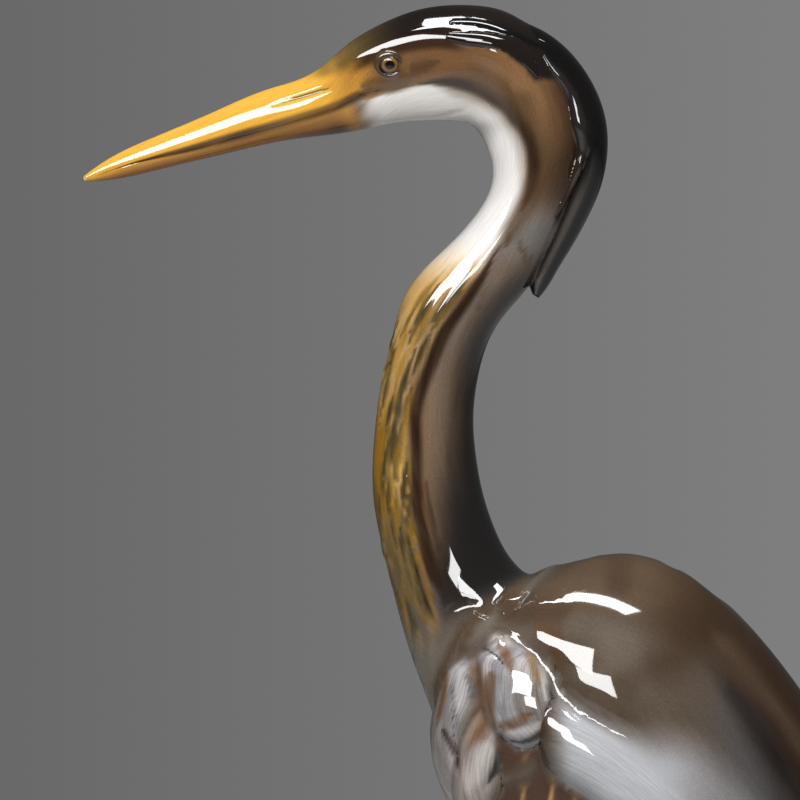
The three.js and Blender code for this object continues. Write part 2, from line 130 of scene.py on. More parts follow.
MANTLE = [
    (-3.4, -17, 250.4, -4.6, -21, 246.4, 1.8),
    (1.4, -9, 255.1, 0, -26.8, 240, 6.6),
    (9.6, -5.6, 260.9, 7, -30.4, 230.4, 10.4),
    (23.4, -4, 265.8, 17.6, -32, 216.6, 12.6),
    (40, -3.4, 263.4, 31.2, -32.8, 206.2, 13.6),
    (57, -3.2, 251.1, 45.4, -32.8, 194.4, 13.6),
    (72, -3, 232.9, 60, -31.2, 182, 12.8),
    (85.2, -3, 214.3, 74, -27.8, 169.4, 11.4),
    (95.6, -2.8, 195.3, 87, -23.4, 156.4, 9.6),
    (104.4, -2.6, 176.1, 98.2, -18.2, 144.2, 7.6),
    (111.8, -2.4, 156.7, 107.2, -13, 133, 5.4),
    (117.2, -3.6, 139.4, 114.4, -8.4, 124.4, 3.2),
    (119.6, -3.2, 129, 118.4, -4.6, 123.8, 1.2),
]
WING = [
    (4, -29, 229.6, 4.6, -30.6, 225.4, 1.6),
    (5.4, -26.8, 233.4, 6.6, -33, 211.6, 7),
    (11.6, -27.4, 231.6, 11.8, -35.4, 206.6, 8.8),
    (21.8, -28.6, 223.4, 22.4, -37.2, 200.2, 9.2),
    (34.4, -29, 211.8, 36.8, -37.2, 188.6, 8.8),
    (48, -28.4, 198, 51, -35.6, 175.2, 8.2),
    (61.6, -26.4, 183.6, 65, -32.4, 161.2, 7.6),
    (75.2, -23, 167.6, 78.6, -27.6, 146.6, 7),
    (88.6, -18.4, 151.4, 91.4, -21.8, 133, 5.8),
    (101, -13.2, 137.2, 102.6, -15.8, 121.8, 4.2),
    (112, -9, 124, 112.6, -10.4, 113.8, 2.6),
    (118, -7, 116.2, 118.2, -7.6, 111.4, 1.2),
]
MASS = [
    (-9.4, -16, 252, -4, -18.6, 252.4, 1.8),
    (-16, -11.6, 247.8, 3.4, -25, 249, 5.6),
    (-19.8, -9.6, 240.4, 9, -29, 241, 8.6),
    (-21.2, -8.8, 230.8, 11.6, -31, 230.6, 9.4),
    (-20.4, -9.2, 221.4, 11, -31, 220.4, 9),
    (-17.4, -11, 213.2, 8.6, -29.6, 211.4, 7.2),
    (-12.6, -14, 207.4, 3.6, -25.6, 205.6, 4.4),
    (-7.4, -17.6, 203.6, -4.4, -19.9, 203, 1.4),
]
KNOB = [
    (-8, -26.8, 245.2, -3.6, -28.8, 245.4, 1.6),
    (-11.4, -23.6, 241.2, 5, -32, 241.4, 5.4),
    (-12, -23, 234, 9.2, -34.4, 234, 7.6),
    (-10.8, -23.8, 226, 10.6, -34.8, 225.6, 7.8),
    (-7.6, -26, 218.8, 8.8, -33.4, 218, 6.4),
    (-2.6, -28.8, 213.4, 4.2, -31.4, 213, 2.4),
]
FRONT_TUFT = [
    (-16, -20.2, 243, -11.4, -23.4, 243.2, 1.6),
    (-19.4, -16, 239, -5, -27.2, 239.4, 4.8),
    (-22, -12.4, 229, -5, -27.6, 228.6, 6.6),
    (-23.6, -9.6, 219.8, -8.6, -25.4, 219, 7),
    (-23.4, -8.8, 211.4, -11.8, -22.6, 210.6, 6),
    (-21.6, -9.8, 203.6, -14.4, -19.2, 202.8, 4.2),
    (-19.4, -12.6, 196.2, -17.8, -14.6, 195.8, 1.2),
]
REAR_TUFT = [
    (-11.4, -24.2, 229.4, -7, -27.2, 229.2, 2),
    (-14.4, -20.4, 221.4, -5.6, -28.4, 220.6, 5),
    (-16.6, -18.2, 212.4, -5.2, -28, 211.4, 6.2),
    (-17.6, -16.8, 204.4, -6.6, -26.2, 203, 5.8),
    (-17.4, -16.6, 197.2, -10.2, -23, 196, 4),
    (-16, -18.2, 190.8, -14.4, -19.8, 190.4, 1.1),
]
# The forms of the left side, which the right side mirrors: rows, distance between rings, and sides.
LEFT_FORMS = {
    "mantle": (MANTLE, 1.5, 68),
    "wing": (WING, 1.4, 64),
    "mass": (MASS, 1.1, 60),
    "knob": (KNOB, 0.8, 60),
    "front_tuft": (FRONT_TUFT, 0.8, 52),
    "rear_tuft": (REAR_TUFT, 0.8, 48),
}
EYE = {"x": -36.7, "y": 10.5, "z": 403.6, "radius": 2.75, "lid": 3.5}
EYE_DOME, EYE_RISE, EYE_HEIGHT, EYE_RINGS, EYE_SIDES = 1.5, 0.7, 0.9, 44, 64

# How finely forms are made: spare length between two rows, steps along a form for its directions, and
# points tried for each side.
KNOT_GAP, DIRECTION_STEPS, TRIED = 0.2, 400, 4
# Distance between rings, and sides, of the smaller forms.
CREST_MESH, LOCK_MESH, LEG_MESH = (0.75, 56), (0.6, 20), (0.75, 44)
TOE_MESH, REED_MESH = (0.6, 26), (1.3, 48)
# Where the left side is looked at from, and where it lies near its outline.
SIGHT_Y, FLANK_Y = -200, -8
# A line on the surface: distance between its places, and their least and greatest number. A line that
# divides two colours always has the same number.
STROKE_STEP, STROKE_PLACES, LINE_PLACES = 2.2, (5, 60), 60
# How joints are filled and rounded.
SEARCH, RUN_ON, MOST_FILL, LEAST_TURN = 1.6, 0.85, 0.6, 0.05
EVENING_PASSES, FILL_ROUNDS, HALVINGS = 4, 2, 24
SEAM_SHARE, SEAM_FADE, SEAM_PULL = 0.6, (0.3, 1), 0.6
HERON_SEAM_PASSES, STAND_SEAM_PASSES = 14, 12
# How far outside a form's own box its points can lie.
MARGIN = 0.5
# Random patterns.
SEED, LATTICE = 7, 128


# Maths of smooth forms.
def natural_spline(knots, rows):
    """A natural cubic spline through rows of numbers at the given knots, as a function of many places."""
    count = len(knots)
    spans = np.diff(knots)
    matrix = np.eye(count)
    turns = np.zeros_like(rows)
    for i in range(1, count - 1):
        matrix[i, i - 1 : i + 2] = spans[i - 1], 2 * (spans[i - 1] + spans[i]), spans[i]
        turns[i] = 6 * ((rows[i + 1] - rows[i]) / spans[i] - (rows[i] - rows[i - 1]) / spans[i - 1])
    bends = np.linalg.solve(matrix, turns)

    def at(places):
        i = np.clip(np.searchsorted(knots, places, side="left") - 1, 0, count - 2)
        span = spans[i][:, None]
        p = (knots[i + 1] - places)[:, None] / span
        q = 1 - p
        curve = (p**3 - p) * bends[i] + (q**3 - q) * bends[i + 1]
        return p * rows[i] + q * rows[i + 1] + curve * span**2 / 6

    return at


def flat(x_a, z_a, x_b, z_b, half, widest=0.5, power_a=2, power_b=2):
    """A full row from one in the middle plane."""
    return [x_a, 0, z_a, x_b, 0, z_b, half, widest, power_a, power_b]


def unit(vectors):
    return vectors / np.maximum(np.linalg.norm(vectors, axis=-1, keepdims=True), 1e-9)


def smooth(value, low, high):
    """0 below low, 1 above high, and an S-shaped rise in between."""
    t = np.clip((value - low) / (high - low), 0, 1)
    return t * t * (3 - 2 * t)


def curved(value, power):
    return np.sign(value) * np.abs(value) ** (2 / power)


def pattern(u, v, seed):
    """Smooth random values, -1 to 1, one lattice step per unit of u and v."""
    lattice = np.random.default_rng(SEED + seed).uniform(-1, 1, (LATTICE, LATTICE))
    iu, iv = np.floor(u).astype(int), np.floor(v).astype(int)
    fu, fv = smooth(u - iu, 0, 1), smooth(v - iv, 0, 1)
    corner = [lattice[(iu + i) % LATTICE, (iv + j) % LATTICE] for i in (0, 1) for j in (0, 1)]
    return (corner[0] * (1 - fv) + corner[1] * fv) * (1 - fu) + (corner[2] * (1 - fv) + corner[3] * fv) * fu


class Form:
    """A closed form through cross-section rows: a grid of points, ring after ring, and its own measures.

    along is the distance from the first ring, round the signed distance round the ring from its first
    edge, and share the place between the two edges, 0 to 1.
    """

    def __init__(self, name, rows, spacing, sides):
        self.name = name
        rows = np.array(rows, float)
        middles = (rows[:, :3] + rows[:, 3:6]) / 2
        steps = np.linalg.norm(np.diff(middles, axis=0), axis=1) + KNOT_GAP
        knots = np.concatenate([[0], np.cumsum(steps)])
        shape = natural_spline(knots, rows)
        spacing = np.broadcast_to(spacing, steps.shape)
        places = [
            start + step * np.arange(count) / count
            for start, step, count in zip(knots, steps, np.ceil(steps / spacing).astype(int))
        ]
        places = np.concatenate([*places, knots[-1:]])
        self.points, self.share = self.rings(shape, places, knots[-1], sides)
        self.measure()

    def rings(self, shape, places, end, sides):
        """Rings of evenly spaced points round the cross-sections at the given places."""
        row = shape(places)[:, None, :]
        step = end / DIRECTION_STEPS
        ends = [shape(np.clip(places + way, 0, end)) for way in (-step, step)]
        along = [e[:, :3] + e[:, 3:6] for e in ends]
        a, b = row[..., :3], row[..., 3:6]
        half, widest, power_a, power_b = (row[..., 6 + i : 7 + i] for i in range(4))
        across = unit(np.cross((b - a)[:, 0], along[1] - along[0]))[:, None, :]
        centre = a + (b - a) * widest
        fine = sides * TRIED
        angle = np.linspace(0, np.pi, fine + 1)[None, :, None]
        towards, aside = np.cos(angle), np.sin(angle)
        first = towards > 0
        edge = np.where(first, a, b)
        reach = np.abs(curved(towards, np.where(first, power_a, power_b)))
        lift = half * curved(aside, np.where(first, power_a, power_b))
        spine = centre + (edge - centre) * reach
        distance = np.linalg.norm(np.diff(spine + across * lift, axis=1), axis=-1)
        travelled = np.concatenate([np.zeros((len(places), 1)), np.cumsum(distance, axis=1)], axis=1)
        halves, shares = [], []
        line = (b - a)[:, 0]
        for i, length in enumerate(travelled):
            wanted = np.linspace(0, length[-1], sides // 2 + 1)
            columns = np.stack([np.interp(wanted, length, spine[i, :, c]) for c in range(3)], axis=-1)
            rise = np.interp(wanted, length, lift[i, :, 0])[:, None] * across[i]
            halves.append(np.stack([columns + rise, columns - rise]))
            shares.append((columns - a[i]) @ line[i] / (line[i] @ line[i]))
        halves, shares = np.array(halves), np.array(shares)
        back = slice(-2, 0, -1)
        points = np.concatenate([halves[:, 0], halves[:, 1, back]], axis=1)
        return points, np.concatenate([shares, shares[:, back]], axis=1)

    @classmethod
    def of_points(cls, name, points, share):
        made = object.__new__(cls)
        made.name, made.points, made.share = name, points, share
        made.measure()
        return made

    def measure(self):
        """Distances along and round the form, and its outward normals."""
        p = self.points
        middle = p.mean(axis=1)
        steps = np.linalg.norm(np.diff(middle, axis=0), axis=1)
        self.along = np.broadcast_to(np.concatenate([[0], np.cumsum(steps)])[:, None], p.shape[:2]).copy()
        sides = p.shape[1]
        arcs = np.linalg.norm(np.roll(p, -1, axis=1) - p, axis=-1)
        round_ = np.cumsum(arcs, axis=1) - arcs
        whole = arcs.sum(axis=1, keepdims=True)
        self.round = np.where(np.arange(sides)[None, :] <= sides // 2, round_, round_ - whole)
        self.turn()

    def turn(self):
        """Outward normals, and whether the faces have to be turned over."""
        p = self.points
        lengthwise = np.gradient(p, axis=0)
        crosswise = np.roll(p, -1, axis=1) - np.roll(p, 1, axis=1)
        normals = unit(np.cross(crosswise, lengthwise))
        outward = p - p.mean(axis=1, keepdims=True)
        self.flip = (normals * outward).sum() < 0
        self.normals = -normals if self.flip else normals

    def press(self, height):
        """Raises the surface by height along its normals, or sinks it where height is negative."""
        self.points = self.points + self.normals * height[..., None]
        self.turn()

    def flat_points(self):
        ends = self.points[[0, -1]].mean(axis=1)
        return np.concatenate([self.points.reshape(-1, 3), ends])

    def faces(self):
        rings, sides = self.points.shape[:2]
        i, j = np.meshgrid(np.arange(rings - 1), np.arange(sides), indexing="ij")
        k = (j + 1) % sides
        quads = np.stack([i * sides + j, i * sides + k, (i + 1) * sides + k, (i + 1) * sides + j], axis=-1)
        faces = quads.reshape(-1, 4).tolist()
        first, last = rings * sides, rings * sides + 1
        start = (rings - 1) * sides
        for j in range(sides):
            k = (j + 1) % sides
            faces.append([k, j, first])
            faces.append([start + j, start + k, last])
        return faces if not self.flip else [face[::-1] for face in faces]

    def tree(self):
        return BVHTree.FromPolygons(self.flat_points().tolist(), self.faces())

    def mirrored(self, name):
        twin = copy.copy(self)
        twin.name, twin.points = name, self.points * np.array([1, -1, 1])
        twin.turn()
        return twin


def bar_rows(places, axis):
    """Rows of a bar through places, its cross-section's main axis along the given direction."""
    axis = np.array(axis, float)
    return [
        [*(np.array(at) + axis * radius), *(np.array(at) - axis * radius), thickness, *OVAL]
        for at, radius, thickness in places
    ]


# Joining the forms: filled corners, one closed skin, rounded creases.
def evened(grid, passes):
    """A grid of heights, blurred lengthwise and round."""
    for _ in range(passes):
        ends = np.concatenate([grid[:1], grid, grid[-1:]])
        grid = (ends[:-2] + 2 * grid + ends[2:]) / 4
        grid = (np.roll(grid, 1, axis=1) + 2 * grid + np.roll(grid, -1, axis=1)) / 4
    return grid


def filled(base, normals, other_tree, reach):
    """How far each point rises so that thick glaze fills the corner towards a neighbouring form.

    The neighbour is taken as flat near the point. Past the middle of the corner the surface runs on
    into the neighbour.
    """
    lift = np.zeros(len(base))
    for _ in range(FILL_ROUNDS):
        gap = np.full(len(base), np.inf)
        facing = np.zeros(len(base))
        here = base + normals * lift[:, None]
        for i, point in enumerate(here.tolist()):
            place, normal, _, distance = other_tree.find_nearest(point, reach * SEARCH)
            if place is None:
                continue
            gap[i] = math.copysign(distance, (Vector(point) - place).dot(normal))
            facing[i] = normal.dot(Vector(normals[i]))
        gap = gap - facing * lift
        near = gap < reach
        g, c = gap[near], facing[near]
        low, high = np.zeros(len(g)), np.full(len(g), float(reach))
        for _ in range(HALVINGS):
            t = (low + high) / 2
            d = g + c * t
            h = np.maximum(reach - np.abs(t - d), 0) / reach
            short = np.minimum(t, d) - h * h * reach / 4 < 0
            low, high = np.where(short, t, low), np.where(short, high, t)
        middle = g / np.maximum(1 - c, LEAST_TURN)
        quarter = reach / 4
        run_on = quarter + RUN_ON * np.clip(quarter - middle, 0, reach)
        lift = np.zeros(len(base))
        lift[near] = np.minimum(np.where(middle < quarter, run_on, low), reach * MOST_FILL)
    return lift


def fill_corners(forms, reaches, others=()):
    """Swells every form towards every other that it meets. reaches gives each form's own reach."""
    everything = [*forms, *others]
    trees = {f.name: f.tree() for f in everything}
    lifts = {}
    for f in forms:
        base, normals = f.points.reshape(-1, 3), f.normals.reshape(-1, 3)
        lift = np.zeros(len(base))
        for other in everything:
            if other is f:
                continue
            reach = min(reaches[f.name], reaches[other.name])
            low, high = other.points.min(axis=(0, 1)), other.points.max(axis=(0, 1))
            inside = np.all((base > low - reach) & (base < high + reach), axis=1)
            if reach > 0 and inside.any():
                rise = filled(base[inside], normals[inside], trees[other.name], reach)
                lift[inside] = np.maximum(lift[inside], rise)
        lifts[f.name] = evened(lift.reshape(f.points.shape[:2]), EVENING_PASSES)
    for f in forms:
        f.press(lifts[f.name])


def new_object(name, points, faces):
    mesh = bpy.data.meshes.new(name)
    mesh.from_pydata((points * MM).tolist(), [], faces)
    made = bpy.data.objects.new(name, mesh)
    bpy.context.scene.collection.objects.link(made)
    return made


def union(name, forms):
    """One closed mesh from overlapping closed forms."""
    whole = new_object(name, forms[0].flat_points(), forms[0].faces())
    for f in forms[1:]:
        piece = new_object(f.name, f.flat_points(), f.faces())
        joint = whole.modifiers.new("join", "BOOLEAN")
        joint.operation = "UNION"
        joint.solver = "MANIFOLD"
        joint.object = piece
        graph = bpy.context.evaluated_depsgraph_get()
        joined = bpy.data.meshes.new_from_object(whole.evaluated_get(graph))
        whole.modifiers.clear()
        whole.data = joined
        bpy.data.objects.remove(piece)
    whole.data.name = name
    return whole


class Skin:
    """The joined mesh's points, with the form that each lies on and its place on that form."""

    def __init__(self, made, forms):
        self.object, self.mesh, self.forms = made, made.data, forms
        points = np.empty(len(self.mesh.vertices) * 3, np.float32)
        self.mesh.vertices.foreach_get("co", points)
        self.points = points.reshape(-1, 3).astype(float) / MM
        pairs = np.empty(len(self.mesh.edges) * 2, np.int32)
        self.mesh.edges.foreach_get("vertices", pairs)
        self.pairs = pairs.reshape(-1, 2)
        self.degree = np.bincount(pairs, minlength=len(self.points))[:, None]
        self.place()

    def place(self):
        """Finds the form and the face of it that each point lies on."""
        count = len(self.points)
        best = np.full(count, np.inf)
        self.owner, self.cell = np.zeros(count, int), np.zeros(count, int)
        for n, f in enumerate(self.forms):
            tree = f.tree()
            low, high = f.points.min(axis=(0, 1)) - MARGIN, f.points.max(axis=(0, 1)) + MARGIN
            for i in np.nonzero(np.all((self.points > low) & (self.points < high), axis=1))[0]:
                _, _, cell, distance = tree.find_nearest(self.points[i].tolist())
                if distance < best[i]:
                    best[i], self.owner[i], self.cell[i] = distance, n, cell

    def coordinates(self):
        """Distance along and round each point's form, and its share of the way between the edges."""
        self.along, self.round, self.share = (np.zeros(len(self.points)) for _ in range(3))
        for n, f in enumerate(self.forms):
            mine = np.nonzero(self.owner == n)[0]
            rings, sides = f.points.shape[:2]
            ring = np.clip(self.cell[mine] // sides, 0, rings - 1)
            side = self.cell[mine] % sides
            after = np.minimum(ring + 1, rings - 1)
            options = [(i, j) for i in (ring, after) for j in (side, (side + 1) % sides)]
            gaps = [np.linalg.norm(self.points[mine] - f.points[o], axis=1) for o in options]
            pick = np.argmin(gaps, axis=0)
            ring = np.choose(pick, [o[0] for o in options])
            side = np.choose(pick, [o[1] for o in options])
            offset = self.points[mine] - f.points[ring, side]
            lengthwise = unit(np.gradient(f.points, axis=0))[ring, side]
            crosswise = unit(np.roll(f.points, -1, axis=1) - np.roll(f.points, 1, axis=1))[ring, side]
            self.along[mine] = f.along[ring, side] + (offset * lengthwise).sum(axis=1)
            self.round[mine] = f.round[ring, side] + (offset * crosswise).sum(axis=1)
            self.share[mine] = f.share[ring, side]

    def averaged(self, values):
        """The mean of each point's neighbours' values."""
        a, b = self.pairs[:, 0], self.pairs[:, 1]
        columns = [
            np.bincount(a, column[b], len(column)) + np.bincount(b, column[a], len(column))
            for column in values.T
        ]
        return np.stack(columns, axis=-1) / self.degree

    def round_seams(self, reaches, passes):
        """Rounds the creases where two forms meet, more where the forms are larger."""
        one, two = self.owner[self.pairs[:, 0]], self.owner[self.pairs[:, 1]]
        crossing = one != two
        reach_of = np.array([reaches[f.name] for f in self.forms])
        smaller = np.minimum(reach_of[one[crossing]], reach_of[two[crossing]])
        reach = np.zeros(len(self.points))
        for side in (0, 1):
            np.maximum.at(reach, self.pairs[crossing, side], smaller)
        seam = np.nonzero(reach)[0]
        tree = KDTree(len(seam))
        for n, i in enumerate(seam):
            tree.insert(self.points[i], n)
        tree.balance()
        found = [tree.find(point)[1:] for point in self.points]
        nearest = seam[np.array([n for n, _ in found])]
        self.seam_gap = np.array([distance for _, distance in found])
        self.seam_reach = reach[nearest]
        amount = 1 - smooth(self.seam_gap / (self.seam_reach * SEAM_SHARE), *SEAM_FADE)
        for _ in range(passes):
            self.points += (self.averaged(self.points) - self.points) * amount[:, None] * SEAM_PULL
        self.write()

    def write(self):
        """Puts the points into the mesh, inside the solid's box, and works out the normals.

        folded holds the points with the right side folded over onto the left.
        """
        self.points = np.clip(self.points, BOX_LOW, BOX_HIGH)
        self.mesh.vertices.foreach_set("co", (self.points * MM).astype(np.float32).ravel())
        self.mesh.update()
        normals = np.empty(len(self.points) * 3, np.float32)
        self.mesh.vertices.foreach_get("normal", normals)
        self.normals = normals.reshape(-1, 3).astype(float)
        self.folded = self.points.copy()
        self.folded[:, 1] = -np.abs(self.points[:, 1])

    def on(self, *names):
        """1 for points on forms whose names start with one of these."""
        chosen = [n for n, f in enumerate(self.forms) if f.name.startswith(names)]
        return np.isin(self.owner, chosen).astype(float)

    def tree(self):
        return BVHTree.FromPolygons(self.points.tolist(), [list(p.vertices) for p in self.mesh.polygons])


def refined(points, count):
    """A smooth curve through a few given points."""
    points = np.array(points, float)
    knots = np.concatenate([[0], np.cumsum(np.linalg.norm(np.diff(points, axis=0), axis=1))])
    return natural_spline(knots, points)(np.linspace(0, knots[-1], count))


def seated(tree, places):
    """Points on the bird's left side, seen square from that side at the given x and z."""
    return np.array(
        [
            tree.ray_cast((x, SIGHT_Y, z), (0, 1, 0))[0] or tree.find_nearest((x, FLANK_Y, z))[0]
            for x, z in places
        ]
    )


def strand_rows(tree, upper, lower, rise):
    """Rows of a thin lock of feathers lying on the surface between an upper and a lower edge."""
    upper, lower = refined(upper, LOCK_ROWS), refined(lower, LOCK_ROWS)
    a, b = seated(tree, upper), seated(tree, lower)
    bulge = np.linalg.norm(seated(tree, (upper + lower) / 2) - (a + b) / 2, axis=1)
    taper = np.sin(np.pi * np.linspace(*LOCK_TAPER, LOCK_ROWS)) ** 0.5
    half = (rise * taper + bulge) + LOCK_EDGE
    return [[*p, *q, h, *OVAL] for p, q, h in zip(a, b, half)]


def near_line(skin, tree, points, reach):
    """A line laid on the bird's left side: which points lie within reach of it.

    Gives their indices, their distances, and their shares of the way along. points are (x, z).
    """
    length = np.linalg.norm(np.diff(points, axis=0), axis=1).sum()
    line = seated(tree, refined(points, int(np.clip(length / STROKE_STEP, *STROKE_PLACES))))
    low, high = line.min(axis=0) - reach, line.max(axis=0) + reach
    index = np.nonzero(np.all((skin.folded > low) & (skin.folded < high), axis=1))[0]
    p = skin.folded[index]
    steps = np.diff(line, axis=0)
    lengths = np.linalg.norm(steps, axis=1)
    starts = np.concatenate([[0], np.cumsum(lengths)])
    best, share = np.full(len(p), np.inf), np.zeros(len(p))
    for start, step, length, passed in zip(line, steps, lengths, starts):
        t = np.clip(((p - start) @ step) / max(length**2, 1e-9), 0, 1)
        distance = np.linalg.norm(p - start - t[:, None] * step, axis=1)
        closer = distance < best
        best = np.where(closer, distance, best)
        share = np.where(closer, (passed + t * length) / starts[-1], share)
    kept = best < reach
    return index[kept], best[kept], share[kept]


def tapering(share, ends):
    """1 along a line, falling to 0 at its ends, over the given shares of its length."""
    first, last = ends
    return smooth(share, 0, max(first, 1e-3)) * (1 - smooth(share, 1 - max(last, 1e-3), 1))


# The bird.
CORE_ROWS = [flat(*row) for row in CORE]
CORE_SIDES = 104
BILL_STEP, HEAD_STEP, NECK_STEP, BREAST_STEP, BODY_STEP = 0.8, 0.62, 0.85, 1.2, 2.0
CORE_SPACING = [BILL_STEP] * 5 + [HEAD_STEP] * 9 + [NECK_STEP] * 13 + [BREAST_STEP] * 6 + [BODY_STEP] * 8
# How far from a joint each form is filled.
REACHES = {
    "core": 12,
    "crest": 0.8,
    "mantle": 9,
    "wing": 6,
    "mass": 4,
    "knob": 1.2,
    "front_tuft": 1.2,
    "rear_tuft": 1.2,
    "strand": 0.5,
    "plume": 0.5,
    "lock": 0.5,
    "eye": 0.3,
}

# Long overlapping feathers at the rear: how many lie across a form, how thick their edges are, and
# over which share of its length they come up. A feather rises up to its crest and then drops, about a
# level surface. Its place is uneven: by how much, over what length, how often across, and a seed.
FEATHER_CREST, FEATHER_LEVEL = 0.8, 0.4
FEATHERED = {"core": (7, 0.5, (0.86, 0.92)), "mantle": (4, 0.6, (0.5, 0.7)), "wing": (5, 0.6, (0.36, 0.55))}
UNEVEN, UNEVEN_LENGTH, UNEVEN_ACROSS, UNEVEN_SEED = 0.3, 25, 2, 11


def feather_place(count, along, share):
    """Which feather lies at a place, counted across the form, with the way across it as a fraction."""
    return share * count + UNEVEN * pattern(along / UNEVEN_LENGTH, share * UNEVEN_ACROSS, UNEVEN_SEED)


def feathered(form):
    """Lays long feathers over the rear of a form, each edge stepping down onto the next."""
    count, thickness, fade = FEATHERED[form.name]
    across = feather_place(count, form.along, form.share) % 1
    layer = across * (1 - smooth(across, FEATHER_CREST, 1)) - FEATHER_LEVEL
    form.press(thickness * layer * smooth(form.along / form.along.max(), *fade))
    return form


core = feathered(Form("core", CORE_ROWS, CORE_SPACING, CORE_SIDES))
crest = Form("crest", [flat(*row) for row in CREST], *CREST_MESH)
left_forms = []
for name, (rows, spacing, sides) in LEFT_FORMS.items():
    form = Form(name, [[*row, *OVAL] for row in rows], spacing, sides)
    left_forms.append(feathered(form) if name in FEATHERED else form)

# Locks of the cap and crest: upper edge, lower edge (x, z) and how far they stand proud. A lock swells
# and thins like a stretch of a half wave, over the thickness of its edge.
LOCK_ROWS, LOCK_TAPER, LOCK_EDGE = 14, (0.08, 0.94), 0.05
LOCKS = {
    "plume": ([(-20.5, 411.6), (-14.4, 411.7), (-8.8, 411.9), (-3.8, 411.6), (-0.2, 410.7), (1.5, 408.7),
        (3, 406.2), (4, 403.5), (4.4, 400)], [(-20.5, 410.9), (-15.7, 409.3), (-11.6, 408.9),
        (-8.3, 408.5), (-5.2, 407.6), (-2.7, 405.9), (-0.2, 404.1), (2.3, 402.1), (4.3, 399.8)], 0.7),
    "strand": ([(6.3, 406.4), (11, 401.7), (14.6, 396.6), (17.1, 391.1), (18.5, 385.5), (18.5, 380.5),
        (17.1, 375.7), (14.9, 370.7), (12.9, 366.3), (11, 362.9), (9.6, 361.5)], [(6, 406.4),
        (9.3, 400.3), (12.5, 395.3), (13.6, 390.8), (14, 387.6), (15.1, 383.7), (15.7, 380.5),
        (14.3, 374.4), (12.6, 368.8), (10.4, 364.4), (9.3, 361.6)], 0.9),
    "lock": ([(-19.4, 416.1), (-14.3, 416.2), (-8.8, 415.4), (-3.7, 413.9), (1, 412), (4.1, 410.3),
        (6, 409)], [(-19.4, 414.9), (-14.3, 414.8), (-9.3, 413.9), (-5.1, 412.4), (-0.4, 410.6),
        (3.5, 409.2), (6, 408.6)], 0.25),
}


def eye_form():
    """An eye turned about the y direction: a rounded lid round a low clear dome."""
    lid, radius = EYE["lid"], EYE["radius"]
    profile = [
        (lid + 0.6, -3),
        (lid + 0.45, -0.6),
        (lid + 0.2, 0.3),
        (lid - 0.1, EYE_RISE),
        (radius + 0.35, EYE_RISE),
        (radius + 0.12, EYE_RISE * 0.5),
        (radius * 0.94, EYE_RISE * 0.72),
        (radius * 0.72, EYE_DOME * 0.82),
        (radius * 0.4, EYE_DOME),
        (0.02, EYE_DOME * 1.08),
    ]
    profile = refined(profile, EYE_RINGS)
    angle = 2 * np.pi * np.arange(EYE_SIDES) / EYE_SIDES
    radii, heights = profile[:, :1], profile[:, 1:]
    x, z = EYE["x"] + radii * np.cos(angle), EYE["z"] + radii * np.sin(angle) * EYE_HEIGHT
    y = np.broadcast_to(-EYE["y"] - heights, x.shape)
    return Form.of_points("eye", np.stack([x, y, z], axis=-1), np.zeros(x.shape))


def both_sides(forms):
    """The forms and their mirror images, with the same reaches."""
    made = []
    for f in forms:
        twin = f.mirrored(f.name + "_right")
        REACHES[twin.name] = REACHES[f.name]
        made += [f, twin]
    return made


bird_forms = [core, crest, *both_sides(left_forms)]
fill_corners(bird_forms, REACHES)
core_points = core.flat_points()
rough = BVHTree.FromPolygons(
    np.concatenate([core_points, crest.flat_points()]).tolist(),
    [*core.faces(), *[[i + len(core_points) for i in face] for face in crest.faces()]],
)
locks = [
    Form(name, strand_rows(rough, upper, lower, rise), *LOCK_MESH)
    for name, (upper, lower, rise) in LOCKS.items()
]
bird_forms += both_sides([*locks, eye_form()])
heron = Skin(union("heron", bird_forms), bird_forms)
heron.round_seams(REACHES, HERON_SEAM_PASSES)

